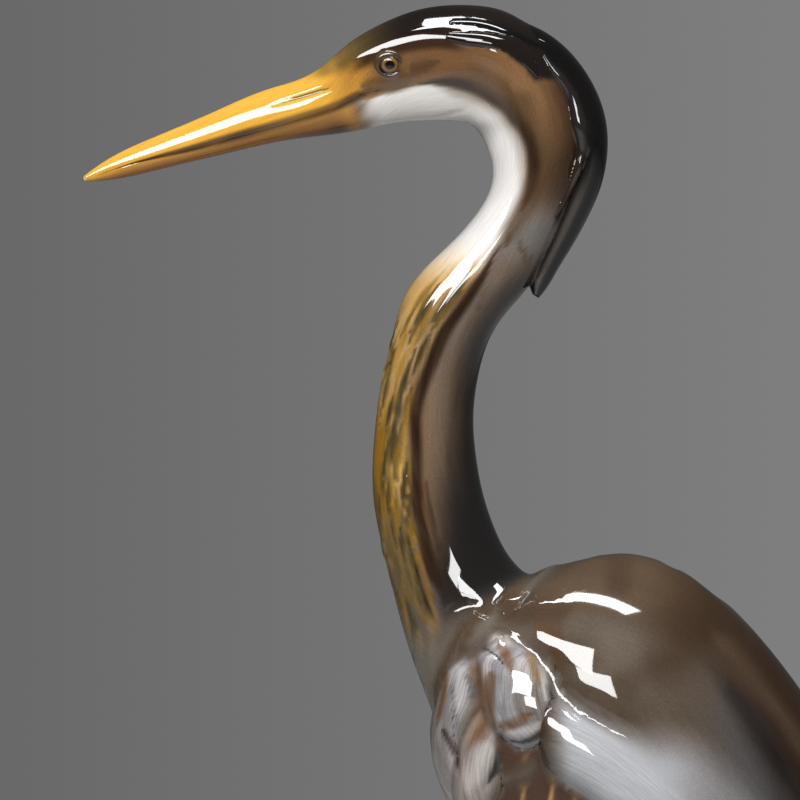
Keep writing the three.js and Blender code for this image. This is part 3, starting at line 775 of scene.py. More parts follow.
# Lines carved into the bird: points (x, z), depth (negative is raised), half width, and the share of
# each end that fades.
CARVED = {
    "brow": ([(-51.2, 402.2), (-48.5, 404.3), (-45, 406.1), (-41.4, 408.4), (-38.1, 410), (-31.1, 412.1),
        (-25.5, 412.9), (-20.8, 413)], -0.3, 1.1, (0.2, 0.3)),
    "cheek": ([(-52, 401.5), (-46, 404.8), (-40, 407.8), (-33, 410.2), (-25, 411.5), (-16, 410.8),
        (-9, 408.5), (-3, 405), (1.5, 401), (5, 396)], -1.4, 4.2, (0.12, 0.3)),
    "gape": ([(-120.3, 372.4), (-115.3, 374.4), (-103.6, 377.9), (-88.5, 381.6), (-77.1, 384.7),
        (-67.3, 387.4), (-59, 389.9), (-50.9, 392.6), (-47.3, 394.3), (-43.4, 395.9), (-38.1, 397),
        (-33.3, 398.4)], 0.22, 0.55, (0.05, 0.3)),
    "jaw": ([(-47.3, 386.3), (-40.8, 387.5), (-35, 388.3), (-28.3, 389), (-22.2, 389.5), (-17.7, 390.7),
        (-14.4, 391.9), (-11.6, 393.6)], 0.35, 0.9, (0.3, 0.3)),
    "bill_plate": ([(-53.1, 404.5), (-51.2, 403.4), (-48.9, 402.3), (-47.8, 400.6), (-47.7, 398.4),
        (-46.7, 397), (-44.8, 396), (-42.5, 396.1)], 0.15, 0.6, (0.1, 0.1)),
    "nostril": ([(-51.2, 398.2), (-54.8, 397.1), (-60.4, 395.4), (-66, 393.8), (-72.4, 391.7)], 0.45, 0.7,
        (0.2, 0.5)),
    "wing_groove": ([(7.2, 241.9), (8.3, 238.6), (9.4, 234.2), (11, 229.6), (15.1, 225.1), (21.2, 221.6),
        (28.4, 218), (36.3, 213.9), (46, 207)], 1.3, 2.2, (0.2, 0.6)),
    "wing_ridge": ([(-10, 228), (-3, 225.5), (4, 221), (11, 214.5), (19, 206.5), (31, 196), (47, 182)],
        -2.2, 7, (0.12, 0.4)),
    "knob_top": ([(-9, 240), (-3, 240.5), (4, 238), (8, 233)], 0.8, 4, (0.2, 0.2)),
    "shoulder_crease": ([(5.2, 259.7), (2.2, 257.5), (-0.6, 254.7), (-2.8, 252.2), (-4.2, 250.9),
        (-6.7, 250.3), (-9.5, 251.1), (-13.3, 253.1), (-16.7, 252.8), (-20, 251.4), (-22.2, 248.1),
        (-22.8, 243.6)], 0.9, 1.8, (0.2, 0.2)),
    "tuft_arc": ([(-17, 239.8), (-14.6, 241.2), (-11.8, 241.6), (-9, 240.9), (-6.8, 239.3), (-5.4, 237.4),
        (-4.8, 234.9)], 0.8, 0.9, (0.1, 0.1)),
    "tuft_split": ([(-19.5, 226), (-19.2, 221.3), (-18.7, 215.7), (-17.9, 210.2), (-18.1, 205.2)], 0.7, 1,
        (0.3, 0.1)),
    "tuft_edge": ([(-4.8, 234.8), (-5.3, 224.8), (-6.3, 215.4), (-7.6, 208), (-11.6, 200.7)], 0.6, 0.9,
        (0.1, 0.1)),
    "knob_layer": ([(-6.3, 220.1), (-0.3, 220.4), (5.1, 222.4), (8.6, 227.4)], 0.5, 0.8, (0.2, 0.2)),
    "mantle_shelf": ([(-4.3, 248.3), (-2.7, 250.8), (-0.7, 252.5), (3.4, 253.3), (9, 253.7),
        (13.1, 253.7), (15.6, 253.3)], -0.5, 1.3, (0.3, 0.4)),
}
# The border of the neck's front colour, and the neck's front edge: points (x, z).
SIDE = [
    (-2, 388.9), (-0.1, 386.8), (1.6, 383.9), (2.8, 380.5), (3.3, 376.5), (3.3, 373.1), (2.8, 369.6),
    (1.3, 365.7), (-0.7, 361.6), (-2.7, 358.2), (-3.9, 355.3), (-7.1, 351.6), (-9.7, 346.8),
    (-12.9, 341.9), (-16.2, 337.1), (-20.4, 331.2), (-22.6, 326.9), (-24.8, 321.5), (-27.5, 315.1),
    (-29.3, 309.1), (-29.9, 304.8), (-29.7, 299.4), (-29.5, 294), (-29.5, 288.7), (-29.3, 283.3),
    (-28.8, 278.5), (-28, 274.6), (-27.1, 270.6), (-25.1, 262.8), (-22.8, 255.8), (-21.6, 250),
]
NECK_FRONT = [
    (-24, 349), (-29, 344), (-34, 336), (-38, 322), (-40, 306), (-41.5, 294), (-41, 280), (-38, 264),
    (-34, 252), (-30, 240),
]
# Small pointed feathers between the two: how many, from what height to what height, how long, and how
# far each leans to the front, stands proud and reaches to either side. A feather's root lies between
# two shares of the way from front to border, and its line has places at steps of its length.
FEATHER_COUNT, FEATHER_TOP, FEATHER_BOTTOM = 92, 349, 244
FEATHER_LENGTH, FEATHER_TILT = (12, 24), 0.1
FEATHER_RISE, FEATHER_WIDTH, FEATHER_ENDS = 0.4, 1.2, (0.6, 0.1)
FEATHER_ACROSS, FEATHER_LEAST, FEATHER_STEPS = (0.06, 0.86), 0.02, np.array([0, 0.35, 0.7, 1])


def neck_feathers():
    """The line of every small feather, from its root to its tip."""
    chance = np.random.default_rng(SEED)
    made = []
    for n in range(FEATHER_COUNT):
        height = FEATHER_TOP - (FEATHER_TOP - FEATHER_BOTTOM) * (n + chance.uniform(-1, 1)) / FEATHER_COUNT
        across, length = chance.uniform(*FEATHER_ACROSS), chance.uniform(*FEATHER_LENGTH)
        drop = FEATHER_STEPS * length
        front = np.interp(height - drop, *np.array(NECK_FRONT[::-1]).T[::-1])
        rear = np.interp(height - drop, *np.array(SIDE[::-1]).T[::-1])
        places = front + (rear - front) * np.maximum(across - FEATHER_TILT * drop / length, FEATHER_LEAST)
        made.append(list(zip(places, height - drop)))
    return made


feathers = neck_feathers()
raised = [(points, -FEATHER_RISE, FEATHER_WIDTH, FEATHER_ENDS) for points in feathers[::2]]
tree = heron.tree()
for points, depth, width, ends in [*CARVED.values(), *raised]:
    index, distance, share = near_line(heron, tree, points, width * 3)
    height = depth * np.exp(-((distance / width) ** 2)) * tapering(share, ends)
    heron.points[index] -= heron.normals[index] * height[:, None]
heron.write()

# Legs, reed leaves and mound, moulded with the bird.
MOUND = {"x": 44, "half_length": 72, "half_width": 50, "top": 23, "shoulder": 13, "recess": 1.5, "rim": 9}
MOUND_SIDES, MOUND_DOME, MOUND_RELIEF, RELIEF_FADE = 176, 2.4, 0.5, 2
# Shares of the way out: rings of the underside inside the rim, the side with its heights, and the first,
# last and number of the top's rings.
UNDER_RINGS, RIM_SLOPE, TOP_RINGS = (0.02, 0.3, 0.6, 0.85), 0.02, (0.955, 0.02, 46)
SIDE_RINGS = [
    (0.965, 0), (0.99, 1), (0.9985, 2.4), (1, 4), (0.997, 5.8), (0.992, 7.6), (0.985, 9), (0.972, 10.8),
]
# The mound's uneven outline: size and number of waves. Its lumps: height, length, width and seed.
OUTLINE_WAVES, LUMPS = [(0.02, 3), (0.012, 5)], [(1, 11, 9, 12), (0.4, 4, 4, 13)]
# Legs, from the thigh down: radii and heights, then y, and x at each height.
LEG_RADII = [8, 12.6, 12, 8.8, 5.8, 4.2, 5.5, 4.2, 3.7, 4.6]
LEG_HEIGHTS = [176, 156, 142, 126, 111, 100, 90, 79, 50, 24]
THIGH_ROWS, THIGH_FLATNESS, THIGH_LENGTH = 4, 0.8, 66
LEGS = {
    "leg_left": (-14.5, [38, 37, 37.4, 39.2, 41.3, 42.5, 42.8, 41.8, 40, 38]),
    "leg_right": (14.5, [50, 50, 51.4, 54, 56.8, 58.4, 59, 59, 60, 62]),
}
# Toes: directions in degrees, lengths, and how far their knuckles rise at shares of the length.
TOE_ANGLES = [-30, 0, 28, 176]
TOE_LENGTHS = [33, 40, 34, 23]
TOE_ROOT, TOE_TIP = 3.3, 1.7
TOE_STEPS = [-0.1, 0.15, 0.45, 0.75, 1]
KNUCKLES = [0, 1.6, 0.6, 0.5, -0.6]
TOE_SINK = 0.4
# Horny scales: spacing, depth, bend, where in a ripple the groove begins, and how far they fade in.
SCUTE_PITCH, SCUTE_DEPTH, SCUTE_BEND, SCUTE_EDGE, SCUTE_START = 3.4, 0.22, 0.5, 0.3, 8
# Reed leaves: x and y of the root, how far the tip leans along x and y, its height, and half the width.
REEDS = [
    (47, -2, 6, -3, 150, 8.2), (56, 3, 16, 2, 142, 8), (51, 5, -16, 2, 146, 7.4),
    (63, -6, 26, -10, 108, 7.2), (66, 5, 34, 12, 84, 6.8), (40, 1, -24, -5, 92, 6.6),
    (54, -8, 6, -17, 66, 6.4),
]
REED_BASE, REED_THICKNESS, REED_EDGE, REED_PLAIN_TIP = 14, 3.4, (0.6, 0.5), 0.8
# A leaf's width follows a stretch of a half wave, raised to a power.
REED_START, REED_STRETCH, REED_POWER = 0.18, 0.8, 0.8
REED_SHARES = np.array([0, 0.25, 0.5, 0.75, 0.93, 1])
REED_RIB, REED_RIB_WIDTH, REED_VEIN, REED_VEINS = 0.4, 0.07, 0.2, 5
LOW_REACHES = {"toe": 2.6, "leg": 5, "reed": 2.4, "mound": 6}


def ground(x, y):
    """Height of the mound's top."""
    out = np.hypot((x - MOUND["x"]) / MOUND["half_length"], y / MOUND["half_width"])
    return MOUND["shoulder"] + (MOUND["top"] - MOUND["shoulder"]) * np.maximum(0, 1 - out**MOUND_DOME)


def scaled(form, start):
    """Presses rows of horny scales into a leg or toe, from the given distance on."""
    ripple = np.cos(2 * np.pi * (form.along + SCUTE_BEND * np.abs(form.share - 0.5)) / SCUTE_PITCH)
    begun = smooth(form.along, start, start + SCUTE_START)
    form.press(-SCUTE_DEPTH * smooth(ripple, SCUTE_EDGE, 1) * begun)
    return form


def leg_forms(name, y, xs):
    """A leg with its four toes, each ending in a claw."""
    flatness = [THIGH_FLATNESS] * THIGH_ROWS + [1] * (len(xs) - THIGH_ROWS)
    places = [
        ((x, y, z), radius, radius * flat_share)
        for x, z, radius, flat_share in zip(xs, LEG_HEIGHTS, LEG_RADII, flatness)
    ]
    made = [scaled(Form(name, bar_rows(places, (1, 0, 0)), *LEG_MESH), THIGH_LENGTH)]
    for n, (angle, length) in enumerate(zip(TOE_ANGLES, TOE_LENGTHS)):
        way = math.radians(180 + angle)
        places = []
        for share, knuckle in zip(TOE_STEPS, KNUCKLES):
            px, py = xs[-1] + math.cos(way) * length * share, y + math.sin(way) * length * share
            radius = TOE_ROOT + (TOE_TIP - TOE_ROOT) * share
            places.append(((px, py, ground(px, py) + knuckle - TOE_SINK), radius, radius))
        made.append(scaled(Form(f"{name}_toe_{n}", bar_rows(places, (0, 0, 1)), *TOE_MESH), 0))
    return made


def reed_form(name, x, y, lean_x, lean_y, height, width):
    turn = math.atan2(lean_y, lean_x) + math.pi / 2
    places = []
    for share in REED_SHARES:
        taper = math.sin(math.pi * (REED_START + REED_STRETCH * share)) ** REED_POWER
        at = (x + lean_x * share**2, y + lean_y * share**2, REED_BASE + (height - REED_BASE) * share)
        places.append((at, REED_EDGE[0] + width * taper, REED_EDGE[1] + REED_THICKNESS * taper))
    made = Form(name, bar_rows(places, (math.cos(turn), math.sin(turn), 0)), *REED_MESH)
    rib = REED_RIB * np.exp(-(((made.share - 0.5) / REED_RIB_WIDTH) ** 2))
    veins = REED_VEIN * smooth(np.cos(2 * np.pi * REED_VEINS * made.share), 0, 1)
    made.press((rib - veins) * (1 - smooth(made.along / made.along.max(), REED_PLAIN_TIP, 1)))
    return made


def mound_form():
    """The mound: a recessed underside inside a flat rim, a rounded side and a domed, lumpy top."""
    rim, floor = 1 - MOUND["rim"] / MOUND["half_width"], MOUND["recess"]
    below = [(rim * share, floor) for share in UNDER_RINGS] + [(rim - RIM_SLOPE, floor), (rim, 0)]
    shares, heights = zip(*below, *SIDE_RINGS)
    shares = np.array([*shares, *np.linspace(*TOP_RINGS)])
    angle = 2 * np.pi * np.arange(MOUND_SIDES) / MOUND_SIDES
    uneven = np.ones(MOUND_SIDES)
    for size, waves in OUTLINE_WAVES:
        uneven += size * np.cos(waves * angle)
    x = MOUND["x"] + shares[:, None] * uneven * MOUND["half_length"] * np.cos(angle)
    y = shares[:, None] * uneven * MOUND["half_width"] * np.sin(angle)
    z = ground(x, y)
    z[: len(heights)] = np.array(heights)[:, None]
    points = np.stack([x, y, z], axis=-1)
    made = Form.of_points("mound", points, np.repeat(shares[:, None], MOUND_SIDES, axis=1))
    lumps = sum(height * pattern(x / length, y / width, seed) for height, length, width, seed in LUMPS)
    top = smooth(z, MOUND["shoulder"] - RELIEF_FADE, MOUND["shoulder"] + RELIEF_FADE)
    made.press(MOUND_RELIEF * lumps * top)
    return made


low_forms = [
    *[f for name, (y, xs) in LEGS.items() for f in leg_forms(name, y, xs)],
    *[reed_form(f"reed_{n}", *numbers) for n, numbers in enumerate(REEDS)],
    mound_form(),
]
for f in low_forms:
    REACHES[f.name] = next(reach for word, reach in LOW_REACHES.items() if word in f.name)
fill_corners(low_forms, REACHES, [core])
stand = Skin(union("legs_reeds_and_mound", low_forms), low_forms)
stand.round_seams(REACHES, STAND_SEAM_PASSES)

# Paint, laid on in coats over each point. Colours are 0 to 255 as the eye sees them.
PALETTE = {
    "gold": (205, 154, 58),
    "amber": (104, 60, 10),
    "horn": (28, 13, 4),
    "lore": (184, 130, 52),
    "olive": (88, 71, 38),
    "umber": (73, 54, 36),
    "dark_umber": (40, 25, 14),
    "sienna": (120, 89, 59),
    "russet": (100, 68, 40),
    "fawn": (114, 98, 85),
    "bark": (54, 39, 26),
    "taupe": (100, 91, 82),
    "tan": (140, 113, 86),
    "cap": (24, 18, 15),
    "black": (7, 7, 7),
    "slate": (71, 74, 80),
    "ash": (112, 109, 107),
    "mist": (163, 164, 168),
    "pearl": (132, 129, 131),
    "white": (214, 211, 208),
    "cream": (222, 200, 168),
    "ochre": (184, 147, 90),
    "mustard": (140, 102, 28),
    "moss": (55, 46, 24),
    "rust": (92, 58, 33),
    "chestnut": (64, 34, 12),
    "night": (25, 22, 22),
    "shank": (150, 122, 66),
    "claw": (42, 34, 28),
    "leaf": (92, 104, 52),
    "leaf_dark": (48, 60, 32),
    "leaf_edge": (166, 136, 70),
    "earth": (96, 82, 62),
    "stone": (142, 132, 114),
}
# A stroke this wide or wider has soft sides. A narrow one is crisp up to the given share of its width,
# and sharp at its ends.
SOFT_WIDTH, CRISP, SHARP_ENDS = 2.5, 0.35, (0.06, 0.15)
# A stroke's thinnest part and its reach to either side, as shares of its width, and how streaky it is.
THINNEST, STROKE_SIDE, STREAKS = 0.05, 1.9, 0.25
THINNEST_LINE = 0.02
# The paint is softened along the seams: how many times, how much, and over what distance.
SEAM_SOFTENING, SEAM_MIX, SEAM_NEAR = 5, 0.8, (0.3, 1.6)
# Length and width of the streaks in a coat, fine and soft, with their seeds.
FINE, SOFT = (9, 1.7, 1), (16, 7, 2)
# What an unpainted point has: hair brushing, speckle, and a distance at which no drawn line shows.
HAIR, SPECKLE, NO_INK = 0.15, 0.3, 8.0
# How far the flow of one form's brushing lies from the next form's.
FLOW_SHIFT = 40.0


def between(value, low, high, soft):
    return smooth(value, low - soft, low + soft) * (1 - smooth(value, high - soft, high + soft))


def linear(colour):
    """The light that a colour stands for, by the usual curve of screens."""
    return np.where(colour > 0.04045, ((colour + 0.055) / 1.055) ** 2.4, colour / 12.92)


class Paint:
    """The colour of every point of a skin, and how much fine hair brushing and speckling it has.

    ink is the distance to the nearest drawn line, 1 at the line's edge.
    """

    def __init__(self, skin, base):
        self.skin, self.tree = skin, skin.tree()
        count = len(skin.points)
        self.colour = np.tile(np.array(PALETTE[base]) / 255, (count, 1))
        self.hair, self.speckle, self.ink = (np.full(count, value) for value in (HAIR, SPECKLE, NO_INK))
        self.x, self.y, self.z = skin.folded.T
        self.fine, self.soft = (
            pattern(skin.along / length, skin.round / width, seed) for length, width, seed in (FINE, SOFT)
        )
        self.ragged = 0.5 * self.fine + 0.5 * self.soft

    def coat(self, name, amount):
        amount = np.clip(amount, 0, 1)
        self.colour += (np.array(PALETTE[name]) / 255 - self.colour) * np.reshape(amount, (-1, 1))

    def stroke(self, name, width, strength, points, ends=(0.15, 0.35), where=None):
        """One brush stroke: full strength in its middle, soft at the sides, thinner to its ends."""
        index, distance, share = near_line(self.skin, self.tree, points, width * 2)
        wide = width * np.maximum(tapering(share, ends), THINNEST)
        crisp = CRISP if width < SOFT_WIDTH else 0
        amount = strength * (1 - smooth(distance / wide, crisp, STROKE_SIDE - crisp))
        amount = amount * tapering(share, ends if width > SOFT_WIDTH else SHARP_ENDS)
        if where is not None:
            amount = amount * where[index]
        full = np.zeros(len(self.x))
        full[index] = amount * (1 + STREAKS * self.fine[index])
        self.coat(name, full)

    def strokes(self, strokes, **how):
        for name, width, strength, points in strokes:
            self.stroke(name, width, strength, points, **how)

    def line(self, width, points, ends=(0.1, 0.2)):
        """A crisp drawn line."""
        index, distance, share = near_line(self.skin, self.tree, points, width * 4)
        wide = width * np.maximum(tapering(share, ends), THINNEST_LINE)
        self.ink[index] = np.minimum(self.ink[index], distance / wide)

    def past(self, points, along, across):
        """How far each point lies past a line, which is read along x or z (0 or 1)."""
        line = refined(points, LINE_PLACES)
        line = line[np.argsort(line[:, along])]
        place = (self.x, self.z)
        return place[across] - np.interp(place[along], line[:, along], line[:, across])

    def above(self, points):
        return self.past(points, 0, 1)

    def behind(self, points):
        return self.past(points, 1, 0)

    def store(self):
        """Softens the paint along the seams, and keeps it on the mesh."""
        mesh = self.skin.mesh
        near = SEAM_MIX * (1 - smooth(self.skin.seam_gap, *SEAM_NEAR))[:, None]
        for _ in range(SEAM_SOFTENING):
            self.colour += (self.skin.averaged(self.colour) - self.colour) * near
        colour = mesh.attributes.new("paint", "FLOAT_COLOR", "POINT")
        rgba = np.concatenate([linear(self.colour), np.ones((len(self.colour), 1))], axis=1)
        colour.data.foreach_set("color", rgba.astype(np.float32).ravel())
        flow = mesh.attributes.new("flow", "FLOAT_VECTOR", "POINT")
        places = np.stack([self.skin.along, self.skin.round, self.skin.owner * FLOW_SHIFT], axis=-1)
        flow.data.foreach_set("vector", places.astype(np.float32).ravel())
        for name in ("hair", "speckle", "ink"):
            field = mesh.attributes.new(name, "FLOAT", "POINT")
            field.data.foreach_set("value", getattr(self, name).astype(np.float32))


# Lines that divide the bird's colours: points (x, z).
GAPE = CARVED["gape"][0]
CAP_EDGE = [
    (-51.2, 402.2), (-45, 406.1), (-38.1, 409.2), (-31.1, 411), (-20.8, 411.6), (-11.6, 409.7),
    (-6, 408.1), (-1.8, 405.6), (1.2, 402.4), (3.2, 399.2),
]
MALAR = [
    (-42.9, 395.4), (-37.7, 396.3), (-33.2, 397.4), (-29.7, 398.3), (-25.2, 398.7), (-20.6, 398.8),
    (-16.6, 398.3), (-13.2, 397.1), (-10.3, 395.7), (-6.9, 393.7), (-4, 391.7), (-2, 388.9),
]
NAPE = [
    (5.1, 408.4), (6.8, 405), (9.6, 400.3), (12.1, 395.3), (13.8, 390), (15.2, 383), (14.6, 377.1),
    (12.9, 370.2), (9.6, 362.1),
]
HIND_CHEEK = [(2.4, 379.6), (3, 372), (0.6, 363.4), (-3.4, 356.4), (-9, 349.4)]
BEHIND_EYE = [(-31.5, 402.4), (-28.4, 402.6), (-25, 404), (-21.5, 405.4)]
BELOW_EYE = [(-46, 397.6), (-40, 398.6), (-33, 400), (-27, 400.6)]
# The share of the way to the front at which the neck's black hind edge ends, for heights z.
HIND_EDGE = [(262, 0.5), (275, 0.3), (285, 0.17), (305, 0.07), (335, 0.08), (346, 0.06)]
# Strokes of the small feathers down the neck's front: colour, strength, half width.
FEATHER_PAINT = [("moss", 0.8, 1.1), ("mustard", 0.6, 1.4), ("moss", 0.6, 0.8), ("olive", 0.5, 1.2)]

# Longer strokes: colour, half width, strength, points.
NECK_STROKES = [
    ("umber", 0.8, 0.6, [(-0.2, 356), (-0.4, 353.2), (0.7, 349.8)]),
    ("umber", 0.8, 0.6, [(1.5, 353.7), (1, 350.4), (1.2, 347)]),
    ("umber", 0.7, 0.6, [(3.2, 352.1), (2.4, 348.7), (1.8, 345.9)]),
    ("umber", 0.8, 0.6, [(-3.2, 358.7), (-3.8, 354.8), (-4.9, 352.1)]),
    ("umber", 0.8, 0.5, [(-9.1, 342.3), (-10.7, 340.1), (-11.6, 337)]),
    ("umber", 0.8, 0.5, [(-11.3, 338.1), (-12.1, 335.9), (-12.7, 333.7)]),
    ("rust", 0.9, 0.45, [(-28.1, 290.5), (-26.5, 280.5), (-23.8, 268.2)]),
    ("night", 0.8, 0.45, [(-27.2, 291.1), (-25.5, 280.2), (-22.6, 266.6)]),
    ("night", 1, 0.8, [(-31.4, 271.4), (-29, 263.6), (-26.7, 255.8), (-23.6, 248), (-22.4, 245.2)]),
    ("slate", 0.9, 0.6, [(-25.9, 262.8), (-24, 257), (-22, 250), (-21.2, 246.8)]),
    ("slate", 0.9, 0.6, [(-33, 257.3), (-30.6, 252.2), (-27.5, 245.6), (-25.9, 240.6)]),
    ("sienna", 1.2, 0.7, [(-29.1, 270.6), (-27.9, 263.6), (-25.9, 255.8), (-22.8, 248.4)]),
    ("sienna", 1.2, 0.7, [(-30.6, 257.7), (-28.3, 251.5), (-24.8, 245.6), (-22.8, 241.7)]),
    ("sienna", 1, 0.7, [(-15.8, 256.3), (-13.5, 253.2), (-10.3, 251.6), (-4.9, 251.4)]),
    ("night", 0.9, 0.8, [(-17, 255.9), (-14.2, 252), (-10.7, 250.2), (-6.8, 250.4)]),
]
SHOULDER_STROKES_AND_SHADE = [
    # Dark in the groove right of the knob: painted shade.
    ("umber", 2.6, 0.7, [(8.4, 244.6), (11, 238.8), (11.6, 231.4), (10, 226.1)]),
    ("white", 2.6, 0.5, [(-17.5, 237.5), (-17, 231.4), (-17.5, 226.1), (-16.4, 219.5)]),
    ("white", 3, 0.45, [(-9, 217.6), (-11.2, 211.3), (-14.3, 206.1), (-16.4, 199.8)]),
    ("white", 2.6, 0.4, [(-0.6, 240.3), (0.5, 235.1), (1, 229.4)]),
    ("white", 1.6, 0.5, [(5, 238.8), (6.4, 232.5), (6, 226)]),
    ("white", 1.3, 0.6, [(-16.4, 242.6), (-9.6, 245.2), (-4.3, 245.2), (1, 243.6), (5.2, 239.4)]),
    ("white", 2, 0.35, [(-5.3, 218.7), (0.5, 219.4), (5.7, 222.4)]),
    ("rust", 1.5, 0.6, [(-7.1, 243.6), (-4.3, 239.3), (-3, 234.1)]),
    ("sienna", 1.2, 0.6, [(1, 241.4), (3.1, 236.2), (4.6, 230.4)]),
    ("rust", 1.7, 0.65, [(-7, 219.9), (-3.2, 220.9), (0.5, 223), (3.6, 225.3)]),
    ("rust", 2.6, 0.65, [(-14.9, 239.3), (-12.7, 234.6), (-11.2, 229.8), (-10.9, 224), (-12.7, 218.7),
        (-15.1, 214.5), (-17.2, 209.3)]),
    ("rust", 2.2, 0.6, [(-8.8, 236.6), (-9, 228.8), (-8.5, 223), (-6.9, 217.2)]),
    ("rust", 1.5, 0.7, [(-21, 236.6), (-21.5, 229.8), (-22.8, 224), (-23.9, 217.7)]),
    ("dark_umber", 1, 0.8, [(-22.5, 219.7), (-19.6, 214.5), (-18, 210.3), (-18.3, 205.6)]),
    ("slate", 0.6, 0.5, [(-15.9, 235), (-14.6, 231), (-14.8, 226)]),
    ("slate", 0.6, 0.5, [(-14.8, 234.2), (-13.4, 230.6), (-13.6, 226)]),
    ("slate", 0.6, 0.5, [(-19.4, 232), (-19, 226), (-18, 221)]),
    ("slate", 0.6, 0.5, [(2.6, 243), (5.8, 240), (7.6, 236)]),
    # Dark round the knob's right and lower edges: painted shadow.
    ("night", 1, 0.85, [(7.1, 240.9), (8.3, 235.1), (7.6, 229.8), (9.2, 226.2), (7.9, 221.9), (4.2, 218),
        (-1.7, 216), (-6.6, 217.9)]),
    # Dark along the lower tuft's right edge, where it stands off the flank: painted shadow.
    ("black", 1.1, 0.85, [(-6.1, 218.7), (-6.4, 212.9), (-7.5, 208.2), (-10.6, 203)]),
]
FLANK_STROKES = [
    ("ochre", 0.7, 0.8, [(0.7, 214), (0.4, 207.4), (0.1, 199.8), (1, 186), (4.5, 172)]),
    ("ochre", 0.7, 0.8, [(8.4, 209.4), (8.3, 204.7), (7.8, 199.8), (8.5, 184), (12, 168)]),
    ("ochre", 0.7, 0.7, [(-5.3, 208), (-5.9, 204), (-6.6, 199.8), (-6, 190), (-3, 180)]),
    ("ochre", 0.7, 0.7, [(14.5, 205.3), (14.5, 202), (14.1, 199.8), (16, 184), (20, 166)]),
    ("ochre", 0.7, 0.6, [(22, 198), (23, 188), (26, 174), (31, 160)]),
    ("ochre", 0.7, 0.5, [(31, 190), (33, 178), (37, 164), (43, 152)]),
]
MANTLE_STROKES = [
    ("taupe", 5, 0.5, [(9.1, 249.5), (18.5, 246.8), (28.5, 241.5), (35.2, 234.1)]),
    ("black", 2.4, 0.5, [(54.6, 233.4), (60.6, 225.4), (67.3, 215.4), (74, 204)]),
    ("fawn", 4.2, 0.3, [(50.4, 248.9), (57.3, 241.2), (65.6, 230.1), (76.7, 214.9), (86, 198)]),
    ("rust", 2.4, 0.4, [(3.1, 249.5), (6.4, 246.2), (9.8, 241.5), (11.1, 236.8)]),
]

# The dark band along the mantle's lower edge, and the upper edge of the pale flight feathers.
BAND = [
    (44, 244), (50.6, 238), (57.7, 229.5), (64.7, 221.1), (71.8, 208.4), (80, 192), (88, 174), (98, 154),
    (108, 136), (118, 122),
]
PALE_EDGE = [
    (6, 243), (9.4, 234), (11, 229.6), (15.1, 225.1), (21.2, 221.6), (28.4, 218.5), (36.3, 216.5),
    (45, 215.5), (53, 210.5), (61, 202), (70, 190), (80, 176), (90, 160), (100, 144), (108, 132),
    (118, 118),
]

heron.coordinates()
core_middles = core.points.mean(axis=1)
row_middles = [(np.array(row[:3]) + np.array(row[3:6])) / 2 for row in CORE_ROWS]
row_along = [core.along[np.argmin(np.linalg.norm(core_middles - m, axis=1)), 0] for m in row_middles]

# station counts the core's rows up to a point: the head starts at 6, the neck at 14, the body at 28.
station = np.interp(heron.along, row_along, np.arange(len(CORE_ROWS)))
bird = Paint(heron, "umber")
on_core, share = heron.on("core"), heron.share
on_crest = heron.on("crest", "plume", "strand", "lock")
on_mantle, on_wing, on_mass, on_eye = (heron.on(name) for name in ("mantle", "wing", "mass", "eye"))
on_tufts = np.maximum(heron.on("knob"), heron.on("front_tuft", "rear_tuft"))
bill = on_core * (1 - smooth(station, 5.2, 6.6))


def beneath(low, high, waver=0):
    """1 where z is below low, 0 where it is above high."""
    return smooth(-bird.z + waver, -high, -low)


# Head and upper neck: tawny cheek, dark cap and nape, a dark line over a white throat.
HEAD_END_X, HEAD_END_Z = MALAR[-1]
head_or_neck = on_core * (1 - smooth(station, 27, 28.6))
over = np.where(bird.z > HEAD_END_Z, np.maximum(bird.above(MALAR), bird.x - HEAD_END_X), bird.behind(SIDE))
soft_edge = 1.4 + 2.2 * beneath(366, 384)
under = smooth((-over + 0.7 * bird.ragged) / soft_edge, 0, 1)
behind = 1 - under
tawny = head_or_neck * behind
cap_rise, nape_depth = bird.above(CAP_EDGE), bird.behind(NAPE)
bird.coat("sienna", head_or_neck)
bird.coat("russet", head_or_neck * between(bird.x, -31, -6, 6) * between(bird.z, 398, 409, 3) * 0.6)
bird.coat("umber", head_or_neck * beneath(376, 400, -0.4 * bird.x) * 0.85)
hindhead = head_or_neck * smooth(nape_depth + bird.ragged, -9, 1.5) * smooth(bird.z, 348, 356)
bird.coat("dark_umber", hindhead * (1 - smooth(bird.z, 396, 408)) * 0.75)
bird.coat("fawn", tawny * beneath(358, 372, 2 * bird.ragged) * 0.9)
bird.coat("ash", tawny * between(bird.z, 350, 362, 5) * 0.8)
bird.coat("taupe", tawny * beneath(338, 350))
bird.coat("fawn", tawny * between(bird.z, 308, 340, 8) * 0.45)
bird.coat("sienna", tawny * (1 - smooth(over, 2, 12)) * beneath(300, 330) * 0.6)
border = head_or_neck * (1 - smooth(np.abs(over + 3), 0, 5)) * smooth(station, 9, 11)
bird.coat("fawn", border * between(bird.z, 340, 380, 5) * 0.5)
white_zone = head_or_neck * under * smooth(station + 0.3 * bird.ragged, 5.9, 7.4)
bird.coat("white", white_zone * smooth(bird.z + 2.0 * bird.ragged, 338, 350))
# Grey under the jaw line, on the chin and the throat's underside: painted shade.
jaw = smooth(-bird.above([(-60, 382), (-47, 386), (-28, 388.4), (-12, 389), (0, 388)]), -1, 3)
bird.coat("ash", head_or_neck * jaw * between(station, 7.5, 12.4, 0.8) * 0.5)
bill_root = np.maximum(behind, 1 - smooth(station, 6, 6.8))
bird.coat("lore", on_core * between(station, 5.4, 7.4, 0.6) * bill_root * 0.9)
bird.coat("olive", on_core * between(station, 5.8, 8.2, 0.7) * smooth(cap_rise, -3, 1.5) * 0.8)
bird.stroke("umber", 3.4, 0.6, [*MALAR[3:], *SIDE[1:10]], (0.2, 0.3))
bird.stroke("dark_umber", 1.9, 0.85, [*MALAR[2:], *SIDE[1:10]], (0.3, 0.3))
